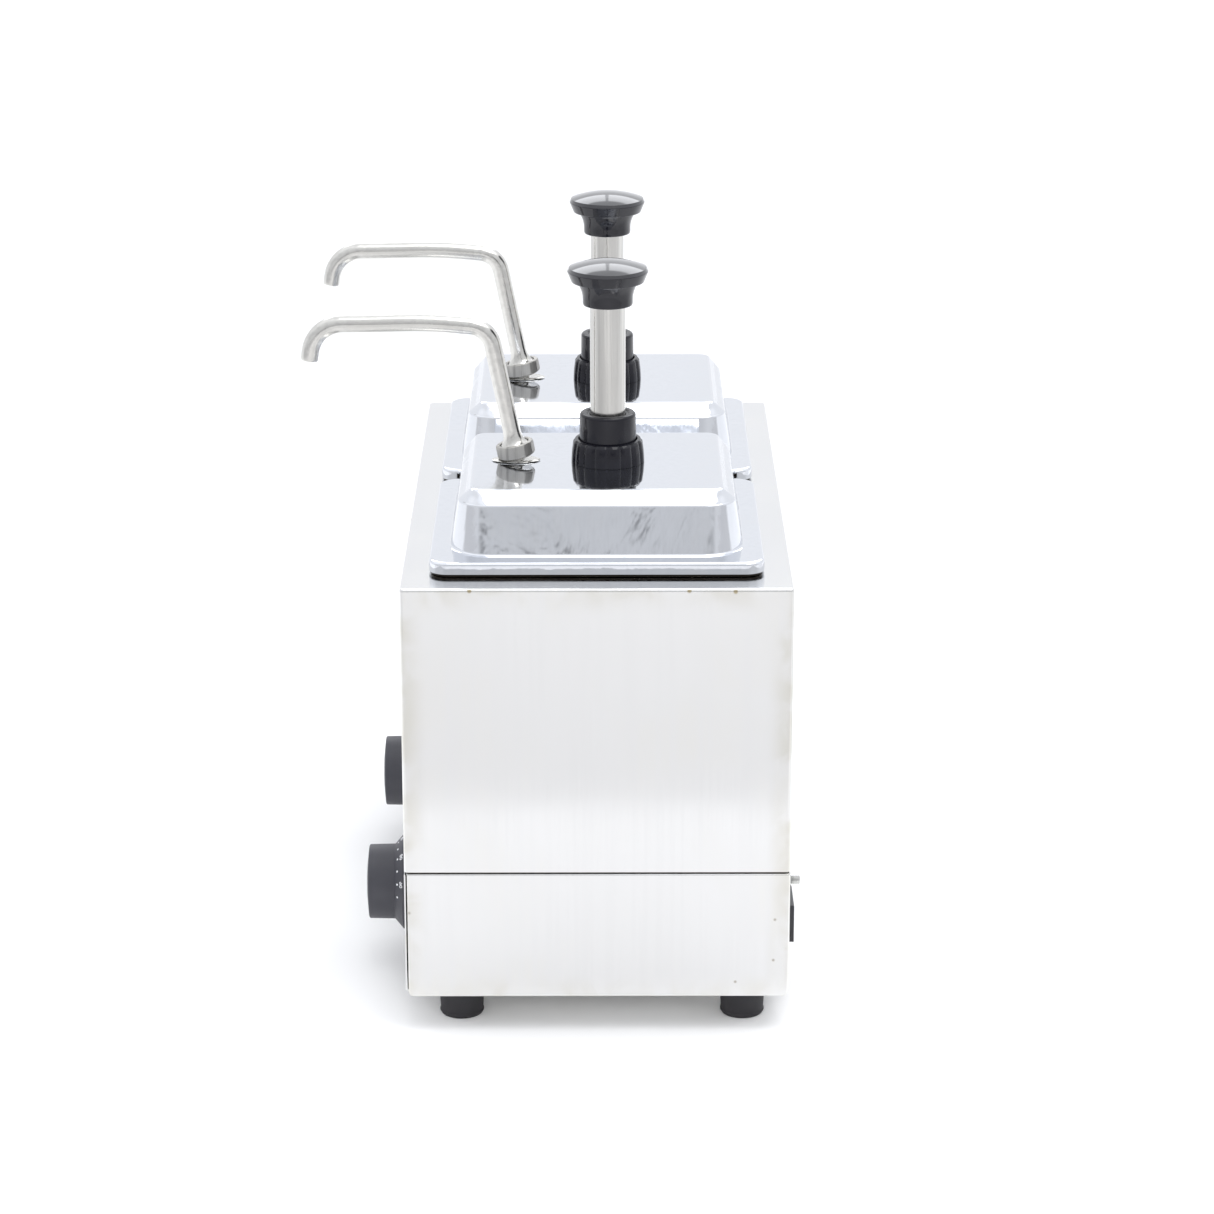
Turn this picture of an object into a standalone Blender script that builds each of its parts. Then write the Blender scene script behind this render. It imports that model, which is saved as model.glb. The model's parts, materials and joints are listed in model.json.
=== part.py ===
"""Heated countertop sauce dispenser with two lift-out pans, two domed lids and two hand pumps.

Metres, +Z up. +X runs along the long side, -Y is the operator's side (heat knobs and spouts).
The origin is on the standing surface, under the middle of the whole object's box.
"""

from math import asin, atan2, cos, degrees, pi, radians, sin, tan

import bmesh
import bpy
from mathutils import Matrix, Vector

# ---------------------------------------------------------------- driving dimensions
GAP = 0.0003  # left between faces that touch on the real object

BODY_WIDTH = 0.378  # along X
BODY_DEPTH = 0.205  # along Y
BODY_HEIGHT = 0.229
FOOT_HEIGHT = 0.0195
SHEET = 0.001  # housing sheet steel
PANEL_SHEET = 0.0008  # the thinner sheet of the control panel
SEAM_DROP = 0.158  # deck to the seam between upper housing and base
SEAM_GAP = 0.0010
EDGE_RADIUS = 0.0018
BASE_CORNER = 0.0035

SPOUT_REACH = 0.15830  # housing centre to the front of a spout's outlet
STUD_REACH = 0.11150  # housing centre to the tip of the earth stud
BODY_Y = (SPOUT_REACH - STUD_REACH) / 2  # puts the middle of the box on the origin
DECK_Z = FOOT_HEIGHT + BODY_HEIGHT
FRONT_Y = BODY_Y - BODY_DEPTH / 2
REAR_Y = BODY_Y + BODY_DEPTH / 2

PAN_PITCH = 0.178  # between the two pans' centres
PAN_X = {"left": -PAN_PITCH / 2, "right": PAN_PITCH / 2}
LID_X, LID_Y = 0.162, 0.176  # outside of the lid's skirt, a sixth-size pan
LID_SHEET = 0.001
LID_SKIRT_Z = 0.0019  # above the deck
LID_FLANGE_Z = 0.0082
LID_TOP_Z = 0.0412
PAN_DEPTH = 0.146
WELL_DEPTH = 0.164
OPENING_X, OPENING_Y = 0.144, 0.158  # cut in the deck for each well

PUMP_Y = 0.0060  # pump axis behind the housing's middle
NUT_RADIUS = 0.0202
NUT_TOP_Z = 0.0536
NECK_RADIUS = 0.0150  # cylinder's thread above the lid
CAP_RADIUS = 0.01525
CAP_TOP_Z = 0.0683
ROD_RADIUS = 0.0095
KNOB_RADIUS = 0.0216
KNOB_BOTTOM_Z = 0.1273
KNOB_WIDEST_Z = 0.1456
KNOB_TOP_Z = 0.1512
BORE_RADIUS = 0.0130  # pump cylinder, inside
CYLINDER_RADIUS = 0.0160
CYLINDER_FLOOR_Z = -0.098
CYLINDER_END_Z = -0.101
PORT_Z = -0.090  # side port to the discharge tube

SPOUT_Y = -0.0484  # spout axis at the lid's top, from the pump axis
SPOUT_TILT = radians(11.5)  # the leg leans towards the operator
TUBE_RADIUS = 0.00475
TUBE_BORE = 0.0036
SPOUT_NUT_RADIUS = 0.01025

DIAL_Z = -0.2025  # heat knob centre below the deck
DIAL_RADIUS = 0.0207
SKIRT_RADIUS = 0.0265
DIAL_PROTRUSION = 0.0257

FOOT_X = 0.163
FOOT_FRONT_Y, FOOT_REAR_Y = -0.0735, 0.0785
FOOT_RADIUS = 0.0125
INLET_X, INLET_Z = 0.150, -0.1971
STUD_X, STUD_Z = 0.118, -0.1905

ROUND = 16  # sides of a turned piece
RING_CORNER = 3  # segments in a pressed corner


# ---------------------------------------------------------------- materials
def material(name, colour, roughness, metallic=0.0):
    made = bpy.data.materials.new(name)
    made.use_nodes = True
    shader = made.node_tree.nodes["Principled BSDF"]
    shader.inputs["Base Color"].default_value = (*colour, 1.0)
    shader.inputs["Roughness"].default_value = roughness
    shader.inputs["Metallic"].default_value = metallic
    return made


FINISHES = {
    "housing_steel": ((0.80, 0.79, 0.76), 0.22, 1.0),
    "polished_steel": ((0.82, 0.83, 0.85), 0.10, 1.0),
    "spout_steel": ((0.74, 0.72, 0.67), 0.25, 1.0),
    "inner_steel": ((0.62, 0.62, 0.61), 0.35, 1.0),
    "black_gloss": ((0.020, 0.020, 0.026), 0.18, 0.0),
    "dial_plastic": ((0.060, 0.060, 0.066), 0.55, 0.0),
    "rubber": ((0.030, 0.028, 0.032), 0.75, 0.0),
    "seal_rubber": ((0.55, 0.54, 0.50), 0.60, 0.0),
    "pump_plastic": ((0.72, 0.72, 0.70), 0.40, 0.0),
    "screw_steel": ((0.60, 0.60, 0.58), 0.35, 1.0),
    "element_sheath": ((0.30, 0.29, 0.28), 0.45, 1.0),
    "terminal_white": ((0.80, 0.78, 0.72), 0.50, 0.0),
}


# ---------------------------------------------------------------- mesh helpers
def object_from(name, shape, finish, location=(0, 0, 0)):
    """An object from a bmesh, with a material named after the piece."""
    bmesh.ops.recalc_face_normals(shape, faces=shape.faces)
    mesh = bpy.data.meshes.new(name)
    shape.to_mesh(mesh)
    shape.free()
    mesh.shade_smooth()
    mesh.set_sharp_from_angle(angle=radians(35))
    made = bpy.data.objects.new(name, mesh)
    made.location = location
    bpy.context.scene.collection.objects.link(made)
    mesh.materials.append(material(name + "_finish", *FINISHES[finish]))
    return made


def skin(rings, looped=False):
    """A bmesh over rings of points. Looped joins the last ring to the first, and else both ends are
    closed. A ring of one point is the tip of a cone."""
    shape = bmesh.new()
    made = [[shape.verts.new(point) for point in ring] for ring in rings]
    pairs = list(zip(made, made[1:]))
    if looped:
        pairs.append((made[-1], made[0]))
    for first, second in pairs:
        count = max(len(first), len(second))
        for i in range(count):
            j = (i + 1) % count
            if len(first) == 1:
                shape.faces.new((first[0], second[j], second[i]))
            elif len(second) == 1:
                shape.faces.new((first[i], first[j], second[0]))
            else:
                shape.faces.new((first[i], first[j], second[j], second[i]))
    if not looped:
        for ring in (made[0], made[-1]):
            if len(ring) > 2:
                shape.faces.new(ring)
    return shape


def circle(radius, z, sides=ROUND, start=0.0):
    if radius == 0:
        return [Vector((0, 0, z))]
    turns = (start + 2 * pi * i / sides for i in range(sides))
    return [Vector((radius * cos(a), radius * sin(a), z)) for a in turns]


def turned(outline, sides=ROUND, bored=False):
    """A piece turned about Z from (radius, z) points. A bored outline runs right round its wall."""
    return skin([circle(radius, z, sides) for radius, z in outline], looped=bored)


def pressed_ring(half_x, half_y, radius, z, corner=RING_CORNER):
    """A rounded rectangle about the origin, counter-clockwise."""
    points = []
    for quarter, (sx, sy) in enumerate(((1, 1), (-1, 1), (-1, -1), (1, -1))):
        centre = Vector((sx * (half_x - radius), sy * (half_y - radius), z))
        for step in range(corner + 1):
            a = (quarter + step / corner) * pi / 2
            points.append(centre + Vector((radius * cos(a), radius * sin(a), 0)))
    return points


def block(size, centre=(0, 0, 0)):
    shape = bmesh.new()
    bmesh.ops.create_cube(shape, size=1.0, matrix=Matrix.Translation(centre) @ Matrix.Diagonal((*size, 1)))
    return shape


def bevelled(made, width, segments=2, angle=40):
    modifier = made.modifiers.new("edges", "BEVEL")
    modifier.width = width
    modifier.segments = segments
    modifier.limit_method = "ANGLE"
    modifier.angle_limit = radians(angle)
    return made


def cut(made, shape, name, location=(0, 0, 0), turn=None):
    """Cuts a shape out of an object with a Boolean, and hides the cutter."""
    cutter = object_from(made.name + "_" + name, shape, "inner_steel", location)
    if turn:
        cutter.rotation_euler = turn
    cutter.display_type = "WIRE"
    cutter.hide_render = True
    modifier = made.modifiers.new(name, "BOOLEAN")
    modifier.operation = "DIFFERENCE"
    modifier.object = cutter


def across(path, i):
    """The direction of a path at one of its points."""
    return (path[min(i + 1, len(path) - 1)] - path[max(i - 1, 0)]).normalized()


def hoops(path, radii, side, sides, turns=None):
    """Circles square to a path that lies in the plane with the normal side."""
    rings = []
    for i, point in enumerate(path):
        along = turns[i] if turns else across(path, i)
        up = along.cross(side).normalized()
        angles = (2 * pi * k / sides for k in range(sides))
        rings.append([point + radii[i] * (cos(a) * side + sin(a) * up) for a in angles])
    return rings


def arc(centre, radius, start, end, steps, plane):
    """Points on an arc, angles in degrees, in the plane of two unit vectors."""
    first, second = plane
    angles = (radians(start + (end - start) * i / steps) for i in range(steps + 1))
    return [centre + radius * (cos(a) * first + sin(a) * second) for a in angles]


# ---------------------------------------------------------------- housing
def upper_housing():
    """The deck and four walls, one folded sheet, open underneath."""
    x, y, low = BODY_WIDTH / 2, BODY_DEPTH / 2, -SEAM_DROP + SEAM_GAP / 2
    r = EDGE_RADIUS
    rings = [
        pressed_ring(x, y, r, low, 2),
        pressed_ring(x, y, r, -r, 2),
        pressed_ring(x - 0.3 * r, y - 0.3 * r, r, -0.3 * r, 2),
        pressed_ring(x - r, y - r, 0.5 * r, 0, 2),
    ]
    inner = [
        pressed_ring(x - SHEET, y - SHEET, r, -SHEET, 2),
        pressed_ring(x - SHEET, y - SHEET, r, low, 2),
    ]
    shape = skin(list(reversed(rings)) + list(reversed(inner)))
    made = object_from("upper_housing", shape, "housing_steel", (0, BODY_Y, DECK_Z))
    for side, centre in PAN_X.items():
        hole = [pressed_ring(OPENING_X / 2, OPENING_Y / 2, 0.016, z) for z in (-0.004, 0.004)]
        cut(made, skin(hole), side + "_opening", (centre, BODY_Y, DECK_Z))


def base_shell():
    """The lower body: four walls with a joggled lip inside the upper housing and a wide floor flange."""
    top, bottom = -SEAM_DROP - SEAM_GAP / 2, -BODY_HEIGHT
    lip, lip_top = SHEET + GAP, top + 0.010
    front_step = PANEL_SHEET + GAP  # the control panel lies in front of this wall
    r, c = EDGE_RADIUS, BASE_CORNER
    flange_x, flange_y = 0.145, 0.0585

    def ring(inset, z, radius=r, front=0.0, end=None):
        """end is the inset of the two end walls, where it differs."""
        half_x = BODY_WIDTH / 2 - (inset if end is None else end)
        points = pressed_ring(half_x, BODY_DEPTH / 2 - inset, radius, z, 2)
        return [p + Vector((0, front if p.y < 0 else 0, 0)) for p in points]

    rings = [
        ring(lip, lip_top, front=0),
        ring(lip, top - 0.0012, front=front_step - lip + GAP),
        ring(0.0, top, front=front_step),
        ring(0.0, bottom + c, front=front_step),
        ring(0.29 * c, bottom + 0.29 * c, r, front_step, 0.0),
        ring(c, bottom, 0.5 * r, front_step, 0.0006),
        pressed_ring(flange_x, flange_y, 0.006, bottom, 2),
        pressed_ring(flange_x, flange_y, 0.006, bottom + SHEET, 2),
        ring(c, bottom + SHEET, 0.5 * r, front_step, SHEET),
        ring(SHEET, bottom + c, front=front_step),
        ring(SHEET, top - 0.0022, front=front_step),
        ring(lip + SHEET, top - 0.0022, front=front_step - lip + GAP),
        ring(lip + SHEET, lip_top, front=0),
    ]
    made = object_from("base_shell", skin(rings, looped=True), "housing_steel", (0, BODY_Y, DECK_Z))
    for side, x in PAN_X.items():
        hole = turned([(0.0055, -0.006), (0.0055, 0.006)])
        cut(made, hole, side + "_shaft_hole", (x, FRONT_Y, DECK_Z + DIAL_Z), (pi / 2, 0, 0))
    for name, x, y in feet():
        hole = turned([(0.0028, -0.004), (0.0028, 0.004)], 10)
        cut(made, hole, name + "_hole", (x, BODY_Y + y, FOOT_HEIGHT))
    inlet_hole = block((0.0270, 0.012, 0.0200))
    cut(made, inlet_hole, "inlet_hole", (INLET_X, REAR_Y, DECK_Z + INLET_Z))
    stud_hole = turned([(0.0030, -0.006), (0.0030, 0.006)], 10)
    cut(made, stud_hole, "stud_hole", (STUD_X, REAR_Y, DECK_Z + STUD_Z), (pi / 2, 0, 0))


def front_panel():
    """The flat control plate in front of the base, with the two heat knobs' holes. It stops where the
    base's bottom edge starts to turn under."""
    thick, top, bottom = PANEL_SHEET, -SEAM_DROP - SEAM_GAP / 2 - GAP, -BODY_HEIGHT + BASE_CORNER
    shape = block((BODY_WIDTH - 0.0004, thick, top - bottom))
    place = (0, FRONT_Y + thick / 2, DECK_Z + (top + bottom) / 2)
    made = object_from("front_panel", shape, "housing_steel", place)
    bevelled(made, 0.0002, 1)
    for side, x in PAN_X.items():
        hole = turned([(0.0055, -0.004), (0.0055, 0.004)])
        cut(made, hole, side + "_shaft_hole", (x, FRONT_Y, DECK_Z + DIAL_Z), (pi / 2, 0, 0))


def bottom_plate():
    """The vented access plate, laid on the inside of the base's floor flange."""
    z = DECK_Z - BODY_HEIGHT + SHEET + GAP + SHEET / 2
    rings = [pressed_ring(0.148, 0.0615, 0.007, side * SHEET / 2, 2) for side in (-1, 1)]
    made = object_from("bottom_plate", skin(rings), "inner_steel", (0, BODY_Y, z))
    for row in (-1, 1):
        for column in range(-2, 3):
            slot = skin([pressed_ring(0.014, 0.0025, 0.0024, z, 2) for z in (-0.003, 0.003)])
            name = f"vent_{row + 1}_{column + 2}"
            cut(made, slot, name, (column * 0.050, BODY_Y + row * 0.028, DECK_Z - BODY_HEIGHT + SHEET))


def feet():
    """Each foot's name and its place on the floor flange."""
    rows = (("front", FOOT_FRONT_Y), ("rear", FOOT_REAR_Y))
    columns = (("left", -FOOT_X), ("right", FOOT_X))
    return [(f"foot_{row}_{side}", x, y) for row, y in rows for side, x in columns]


def foot_pieces():
    top = FOOT_HEIGHT - GAP
    r = FOOT_RADIUS
    foot = [
        (0.0027, top), (r, top), (r - 0.0008, 0.0024), (r - 0.0004, 0.0012),
        (r - 0.0008, 0), (0.0056, 0), (0.0056, 0.0100), (0.0027, 0.0100),
    ]
    screw = [
        (0, 0.0060), (0.0035, 0.0060), (0.0048, 0.0075), (0.0048, 0.0097),
        (0.0023, 0.0097), (0.0023, FOOT_HEIGHT + 0.0070), (0, FOOT_HEIGHT + 0.0070),
    ]
    for name, x, y in feet():
        object_from(name, turned(foot, 14, bored=True), "rubber", (x, BODY_Y + y, 0))
        fastener = name.replace("foot_", "foot_screw_")
        object_from(fastener, turned(screw, 10), "screw_steel", (x, BODY_Y + y, 0))


# ---------------------------------------------------------------- heating
def water_well(side):
    """The drawn tub under a pan, hung from the deck's underside by its flange."""
    wall, top = 0.0008, -SHEET - GAP
    x, y, r = OPENING_X / 2 + 0.0010, OPENING_Y / 2 + 0.0010, 0.0170
    rings = [
        pressed_ring(x - 0.0100, y - 0.0100, 0.012, -WELL_DEPTH),
        pressed_ring(x - 0.0015, y - 0.0015, r, -WELL_DEPTH + 0.0070),
        pressed_ring(x + wall, y + wall, r, top - wall),
        pressed_ring(x + 0.0070, y + 0.0070, r, top - wall),
        pressed_ring(x + 0.0070, y + 0.0070, r, top),
        pressed_ring(x, y, r, top),
        pressed_ring(x - 0.0015 - wall, y - 0.0015 - wall, r, -WELL_DEPTH + 0.0072),
        pressed_ring(x - 0.0110, y - 0.0110, 0.011, -WELL_DEPTH + wall),
    ]
    object_from(f"water_well_{side}", skin(rings), "inner_steel", (PAN_X[side], BODY_Y, DECK_Z))


def heating_element(side):
    """A hairpin tubular element held up against the underside of the well."""
    sheath, bend = 0.0040, 0.0250
    z = -WELL_DEPTH - sheath - GAP
    x_axis, y_axis, back, front = Vector((1, 0, 0)), Vector((0, 1, 0)), 0.030, -0.055
    path = [Vector((bend, front, z))]
    path += arc(Vector((0, back, z)), bend, 0, 180, 8, (x_axis, y_axis))
    path += [Vector((-bend, front, z))]
    rings = hoops(path, [sheath] * len(path), Vector((0, 0, 1)), 8)
    object_from(f"heating_element_{side}", skin(rings), "element_sheath", (PAN_X[side], BODY_Y, DECK_Z))


def thermostat(side):
    """The switch body behind the panel, with the threaded bush that the shaft turns in. Its origin is
    on the shaft's axis, and its own Z points out of the panel."""
    wall = 0.0027 + GAP  # panel, base wall and the gap between them
    half, deep = 0.0150, 0.0240
    body = [
        pressed_ring(half, half, 0.003, -wall - deep, 1),
        pressed_ring(half, half, 0.003, -wall, 1),
    ]
    bush = ((0.0050, -wall), (0.0050, 0.0024), (0.0035, 0.0024), (0.0035, -wall - 0.0150))
    body += [circle(radius, z, 8, pi / 8) for radius, z in bush]
    place = (PAN_X[side], FRONT_Y, DECK_Z + DIAL_Z)
    made = object_from(f"thermostat_{side}", skin(body), "terminal_white", place)
    made.rotation_euler = (pi / 2, 0, 0)
    shaft = turned([(0, -0.0170), (0.0029, -0.0170), (0.0029, 0.0150), (0, 0.0150)], 10)
    made = object_from(f"thermostat_shaft_{side}", shaft, "screw_steel", place)
    made.rotation_euler = (pi / 2, 0, 0)


def heat_knob(side):
    """The dial: a round grip on a coned skirt, hollow behind, on the thermostat's shaft."""
    front = DIAL_PROTRUSION
    outline = [
        (0.0032, 0.0040), (0.0060, 0.0040), (0.0060, 0.0105), (0.0180, 0.0105), (0.0250, 0.0045),
        (0.0250, 0.0012), (SKIRT_RADIUS, 0.0012), (SKIRT_RADIUS, 0.0052),
        (DIAL_RADIUS + 0.0006, 0.0096), (DIAL_RADIUS, front - 0.0008),
        (DIAL_RADIUS - 0.0008, front), (0, front), (0, 0.0155), (0.0032, 0.0155),
    ]
    made = object_from(f"heat_knob_{side}", turned_from_pole(outline), "dial_plastic",
                       (PAN_X[side], FRONT_Y, DECK_Z + DIAL_Z))
    made.rotation_euler = (pi / 2, 0, 0)


def turned_from_pole(outline, sides=20):
    """A turned piece whose outline touches the axis twice: its front is whole and its back is bored."""
    start = next(i for i, (radius, _) in enumerate(outline) if radius == 0)
    ordered = outline[start + 1:] + outline[:start + 1]
    return skin([circle(radius, z, sides) for radius, z in ordered])


def power_inlet():
    """The appliance inlet: a rim outside the rear wall, chamfered along its top, and a box inside the
    wall, with three pins in a socket. Its own Z points out of the wall and its own Y points down."""
    half_x, half_z, proud, slope, brow_height = 0.0150, 0.0106, 0.0036, 0.0005, 0.0006
    rim = [
        Vector((-half_x, half_z, GAP)), Vector((half_x, half_z, GAP)),
        Vector((half_x, -half_z, GAP)), Vector((-half_x, -half_z, GAP)),
    ]
    lip = [
        Vector((-half_x, half_z, proud)), Vector((half_x, half_z, proud)),
        Vector((half_x, -half_z + brow_height, proud)), Vector((-half_x, -half_z + brow_height, proud)),
    ]
    shape = bmesh.new()
    back = [shape.verts.new(p) for p in rim]
    face = [shape.verts.new(p) for p in lip]
    brow = [shape.verts.new(Vector((s * half_x, -half_z, proud - slope))) for s in (1, -1)]
    shape.faces.new(back)
    shape.faces.new(face)
    shape.faces.new((back[0], back[1], face[1], face[0]))
    shape.faces.new((back[1], back[2], brow[0], face[2], face[1]))
    shape.faces.new((back[2], back[3], brow[1], brow[0]))
    shape.faces.new((back[3], back[0], face[0], face[3], brow[1]))
    shape.faces.new((face[2], brow[0], brow[1], face[3]))
    place = (INLET_X, REAR_Y, DECK_Z + INLET_Z)
    made = object_from("power_inlet", shape, "dial_plastic", place)
    made.rotation_euler = (-pi / 2, 0, 0)
    body = made.modifiers.new("inner_box", "BOOLEAN")
    body.operation = "UNION"
    body.object = helper("power_inlet_box", block((0.0260, 0.0190, 0.0200), (0, 0, -0.0095)), place)
    socket = block((0.0220, 0.0140, 0.0300), (0, 0.0010, 0))
    cut(made, socket, "socket", place, (-pi / 2, 0, 0))
    for name, x, y in (("live", -0.007, 0.005), ("earth", 0, 0.001), ("neutral", 0.007, 0.005)):
        pin = made.modifiers.new(name, "BOOLEAN")
        pin.operation = "UNION"
        pin.object = helper(f"power_inlet_{name}", block((0.002, 0.004, 0.0180), (x, y, -0.0090)), place)


def helper(name, shape, location):
    """A hidden shape that a Boolean adds to the inlet."""
    made = object_from(name, shape, "inner_steel", location)
    made.rotation_euler = (-pi / 2, 0, 0)
    made.display_type = "WIRE"
    made.hide_render = True
    return made


def earth_terminal():
    """The earth stud through the rear wall, and its nut. Their own Z points out of the wall."""
    place = (STUD_X, REAR_Y, DECK_Z + STUD_Z)
    tip = STUD_REACH - BODY_DEPTH / 2
    stud = [
        (0, -0.0060), (0.0045, -0.0060), (0.0045, -SHEET - 2 * GAP), (0.0025, -SHEET - 2 * GAP),
        (0.0025, tip - 0.0006), (0.0019, tip), (0, tip),
    ]
    made = object_from("earth_stud", turned(stud, 10), "screw_steel", place)
    made.rotation_euler = (-pi / 2, 0, 0)
    nut = [(0.0029, GAP), (0.0046, GAP), (0.0046, 0.0040), (0.0029, 0.0040)]
    made = object_from("earth_nut", turned(nut, 6, bored=True), "screw_steel", place)
    made.rotation_euler = (-pi / 2, 0, 0)


def terminal_block():
    """The screw-terminal block on the base's floor, between the inlet and the thermostats."""
    size = Vector((0.046, 0.020, 0.016))
    floor = DECK_Z - BODY_HEIGHT + 2 * SHEET + 2 * GAP
    shape = block(size)
    made = object_from("terminal_block", shape, "terminal_white", (0.060, BODY_Y + 0.040, floor + size.z / 2))
    bevelled(made, 0.0012, 1)
    for i in range(3):
        screw_well = turned([(0.0025, -0.004), (0.0025, 0.004)], 8)
        x = 0.060 + (i - 1) * 0.014
        cut(made, screw_well, f"screw_well_{i}", (x, BODY_Y + 0.040, floor + size.z))


# ---------------------------------------------------------------- pans and lids
def food_pan(side):
    """The drawn steel pan that hangs by its rim on the deck."""
    x, y, r = OPENING_X / 2 - 0.0030, OPENING_Y / 2 - 0.0030, 0.0150
    taper, wall, rim = 0.0060, 0.0010, 0.0013
    rim_x, rim_y = LID_X / 2 - 0.0010, LID_Y / 2 - 0.0010
    deep = -PAN_DEPTH
    rings = [
        pressed_ring(x - taper - 0.005, y - taper - 0.005, 0.010, deep),
        pressed_ring(x - taper, y - taper, r, deep + 0.0050),
        pressed_ring(x, y, r, -0.0005),
        pressed_ring(x + 0.0012, y + 0.0012, r, GAP),
        pressed_ring(rim_x, rim_y, 0.0100, GAP),
        pressed_ring(rim_x, rim_y, 0.0100, GAP + rim),
        pressed_ring(x + 0.0005, y + 0.0005, r, GAP + rim),
        pressed_ring(x - wall, y - wall, r, -0.0002),
        pressed_ring(x - taper - wall, y - taper - wall, r, deep + 0.0055),
        pressed_ring(x - taper - 0.006, y - taper - 0.006, 0.009, deep + wall),
    ]
    object_from(f"food_pan_{side}", skin(rings), "polished_steel", (PAN_X[side], BODY_Y, DECK_Z))


def lid(side):
    """The domed lid: a skirted flange, drafted walls and a flat top with holes for pump and spout."""
    x, y, t = LID_X / 2, LID_Y / 2, LID_SHEET
    flange, top = LID_FLANGE_Z, LID_TOP_Z

    def dome(inset_x, inset_y, radius, z):
        return pressed_ring(x - inset_x, y - inset_y, radius, z)

    outer = [
        dome(0, 0, 0.0100, LID_SKIRT_Z),
        dome(0, 0, 0.0100, flange - 0.0020),
        dome(0.0006, 0.0006, 0.0094, flange - 0.0006),
        dome(0.0020, 0.0020, 0.0080, flange),
        dome(0.0115, 0.0095, 0.0220, flange),
        dome(0.0131, 0.0110, 0.0210, flange + 0.0014),
        dome(0.0170, 0.0148, 0.0170, top - 0.0078),
        dome(0.0178, 0.0156, 0.0160, top - 0.0064),
        dome(0.0236, 0.0214, 0.0060, top - 0.0006),
        dome(0.0250, 0.0228, 0.0045, top),
    ]
    inner = [
        dome(0.0246, 0.0224, 0.0048, top - t),
        dome(0.0182, 0.0160, 0.0155, top - 0.0076),
        dome(0.0141, 0.0120, 0.0200, flange + 0.0010),
        dome(0.0122, 0.0102, 0.0210, flange - t),
        dome(0.0018, 0.0018, 0.0085, flange - t),
        dome(0.0010, 0.0010, 0.0090, LID_SKIRT_Z),
    ]
    shape = skin(list(reversed(outer)) + list(reversed(inner)))
    made = object_from(f"lid_{side}", shape, "polished_steel", (PAN_X[side], BODY_Y, DECK_Z))
    pump_hole = turned([(NECK_RADIUS + 0.0004, 0.030), (NECK_RADIUS + 0.0004, 0.050)])
    cut(made, pump_hole, "pump_hole", (PAN_X[side], BODY_Y + PUMP_Y, DECK_Z))
    spout_hole = turned([(0.0068, 0.030), (0.0068, 0.050)], 12)
    cut(made, spout_hole, "spout_hole", (PAN_X[side], BODY_Y + PUMP_Y + SPOUT_Y, DECK_Z))


# ---------------------------------------------------------------- pumps
def pump_place(side):
    """The pump's axis at deck height: the origin of every piece of the pump."""
    return (PAN_X[side], BODY_Y + PUMP_Y, DECK_Z)


def pump_knob(side):
    r, low = KNOB_RADIUS, KNOB_BOTTOM_Z
    seat = low + 0.0060
    outline = [
        (0, seat), (ROD_RADIUS + 0.0003, seat), (ROD_RADIUS + 0.0003, low), (0.0129, low),
        (0.0131, low + 0.0040), (0.0141, low + 0.0085), (0.0160, low + 0.0113),
        (r - 0.0024, low + 0.0117), (r, KNOB_WIDEST_Z), (r - 0.0011, KNOB_WIDEST_Z + 0.0018),
        (0.0145, KNOB_TOP_Z - 0.0013), (0.0075, KNOB_TOP_Z - 0.0003), (0, KNOB_TOP_Z),
    ]
    object_from(f"pump_knob_{side}", turned(outline), "black_gloss", pump_place(side))


def plunger(side):
    """The plunger tube, the piston plugged into its foot and the piston's seal."""
    foot, seat = -0.020, KNOB_BOTTOM_Z + 0.0060 - GAP
    tube = [
        (ROD_RADIUS - 0.0012, foot), (ROD_RADIUS, foot), (ROD_RADIUS, seat), (ROD_RADIUS - 0.0012, seat),
    ]
    object_from(f"plunger_tube_{side}", turned(tube, bored=True), "spout_steel", pump_place(side))
    land, groove = BORE_RADIUS - 0.0005, 0.0104
    piston = [
        (0, -0.0100), (0.0080, -0.0100), (0.0080, foot - GAP), (land, foot - GAP), (land, -0.0240),
        (groove, -0.0240), (groove, -0.0290), (land, -0.0290), (land, -0.0340), (0, -0.0340),
    ]
    object_from(f"piston_{side}", turned(piston), "pump_plastic", pump_place(side))
    seal = [
        (groove + GAP, -0.0243), (BORE_RADIUS - 0.0002, -0.0243),
        (BORE_RADIUS - 0.0002, -0.0287), (groove + GAP, -0.0287),
    ]
    object_from(f"piston_seal_{side}", turned(seal, bored=True), "seal_rubber", pump_place(side))


def return_spring(side):
    """The compression spring between the piston and the cylinder's floor."""
    wire, coil, turns, per_turn, sides = 0.0009, 0.0106, 5.5, 8, 5
    high, low = -0.0340 - wire - GAP, CYLINDER_FLOOR_Z + wire + GAP
    steps = int(turns * per_turn)
    pitch_angle = atan2((high - low) / turns, 2 * pi * coil)
    rings = []
    for step in range(steps + 1):
        a, share = 2 * pi * step / per_turn, step / steps
        out = Vector((cos(a), sin(a), 0))
        along = Vector((-sin(a) * cos(pitch_angle), cos(a) * cos(pitch_angle), sin(pitch_angle)))
        up = along.cross(out)
        centre = coil * out + Vector((0, 0, low + (high - low) * share))
        angles = (2 * pi * k / sides for k in range(sides))
        rings.append([centre + wire * (cos(b) * out + sin(b) * up) for b in angles])
    object_from(f"return_spring_{side}", skin(rings), "screw_steel", pump_place(side))


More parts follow.
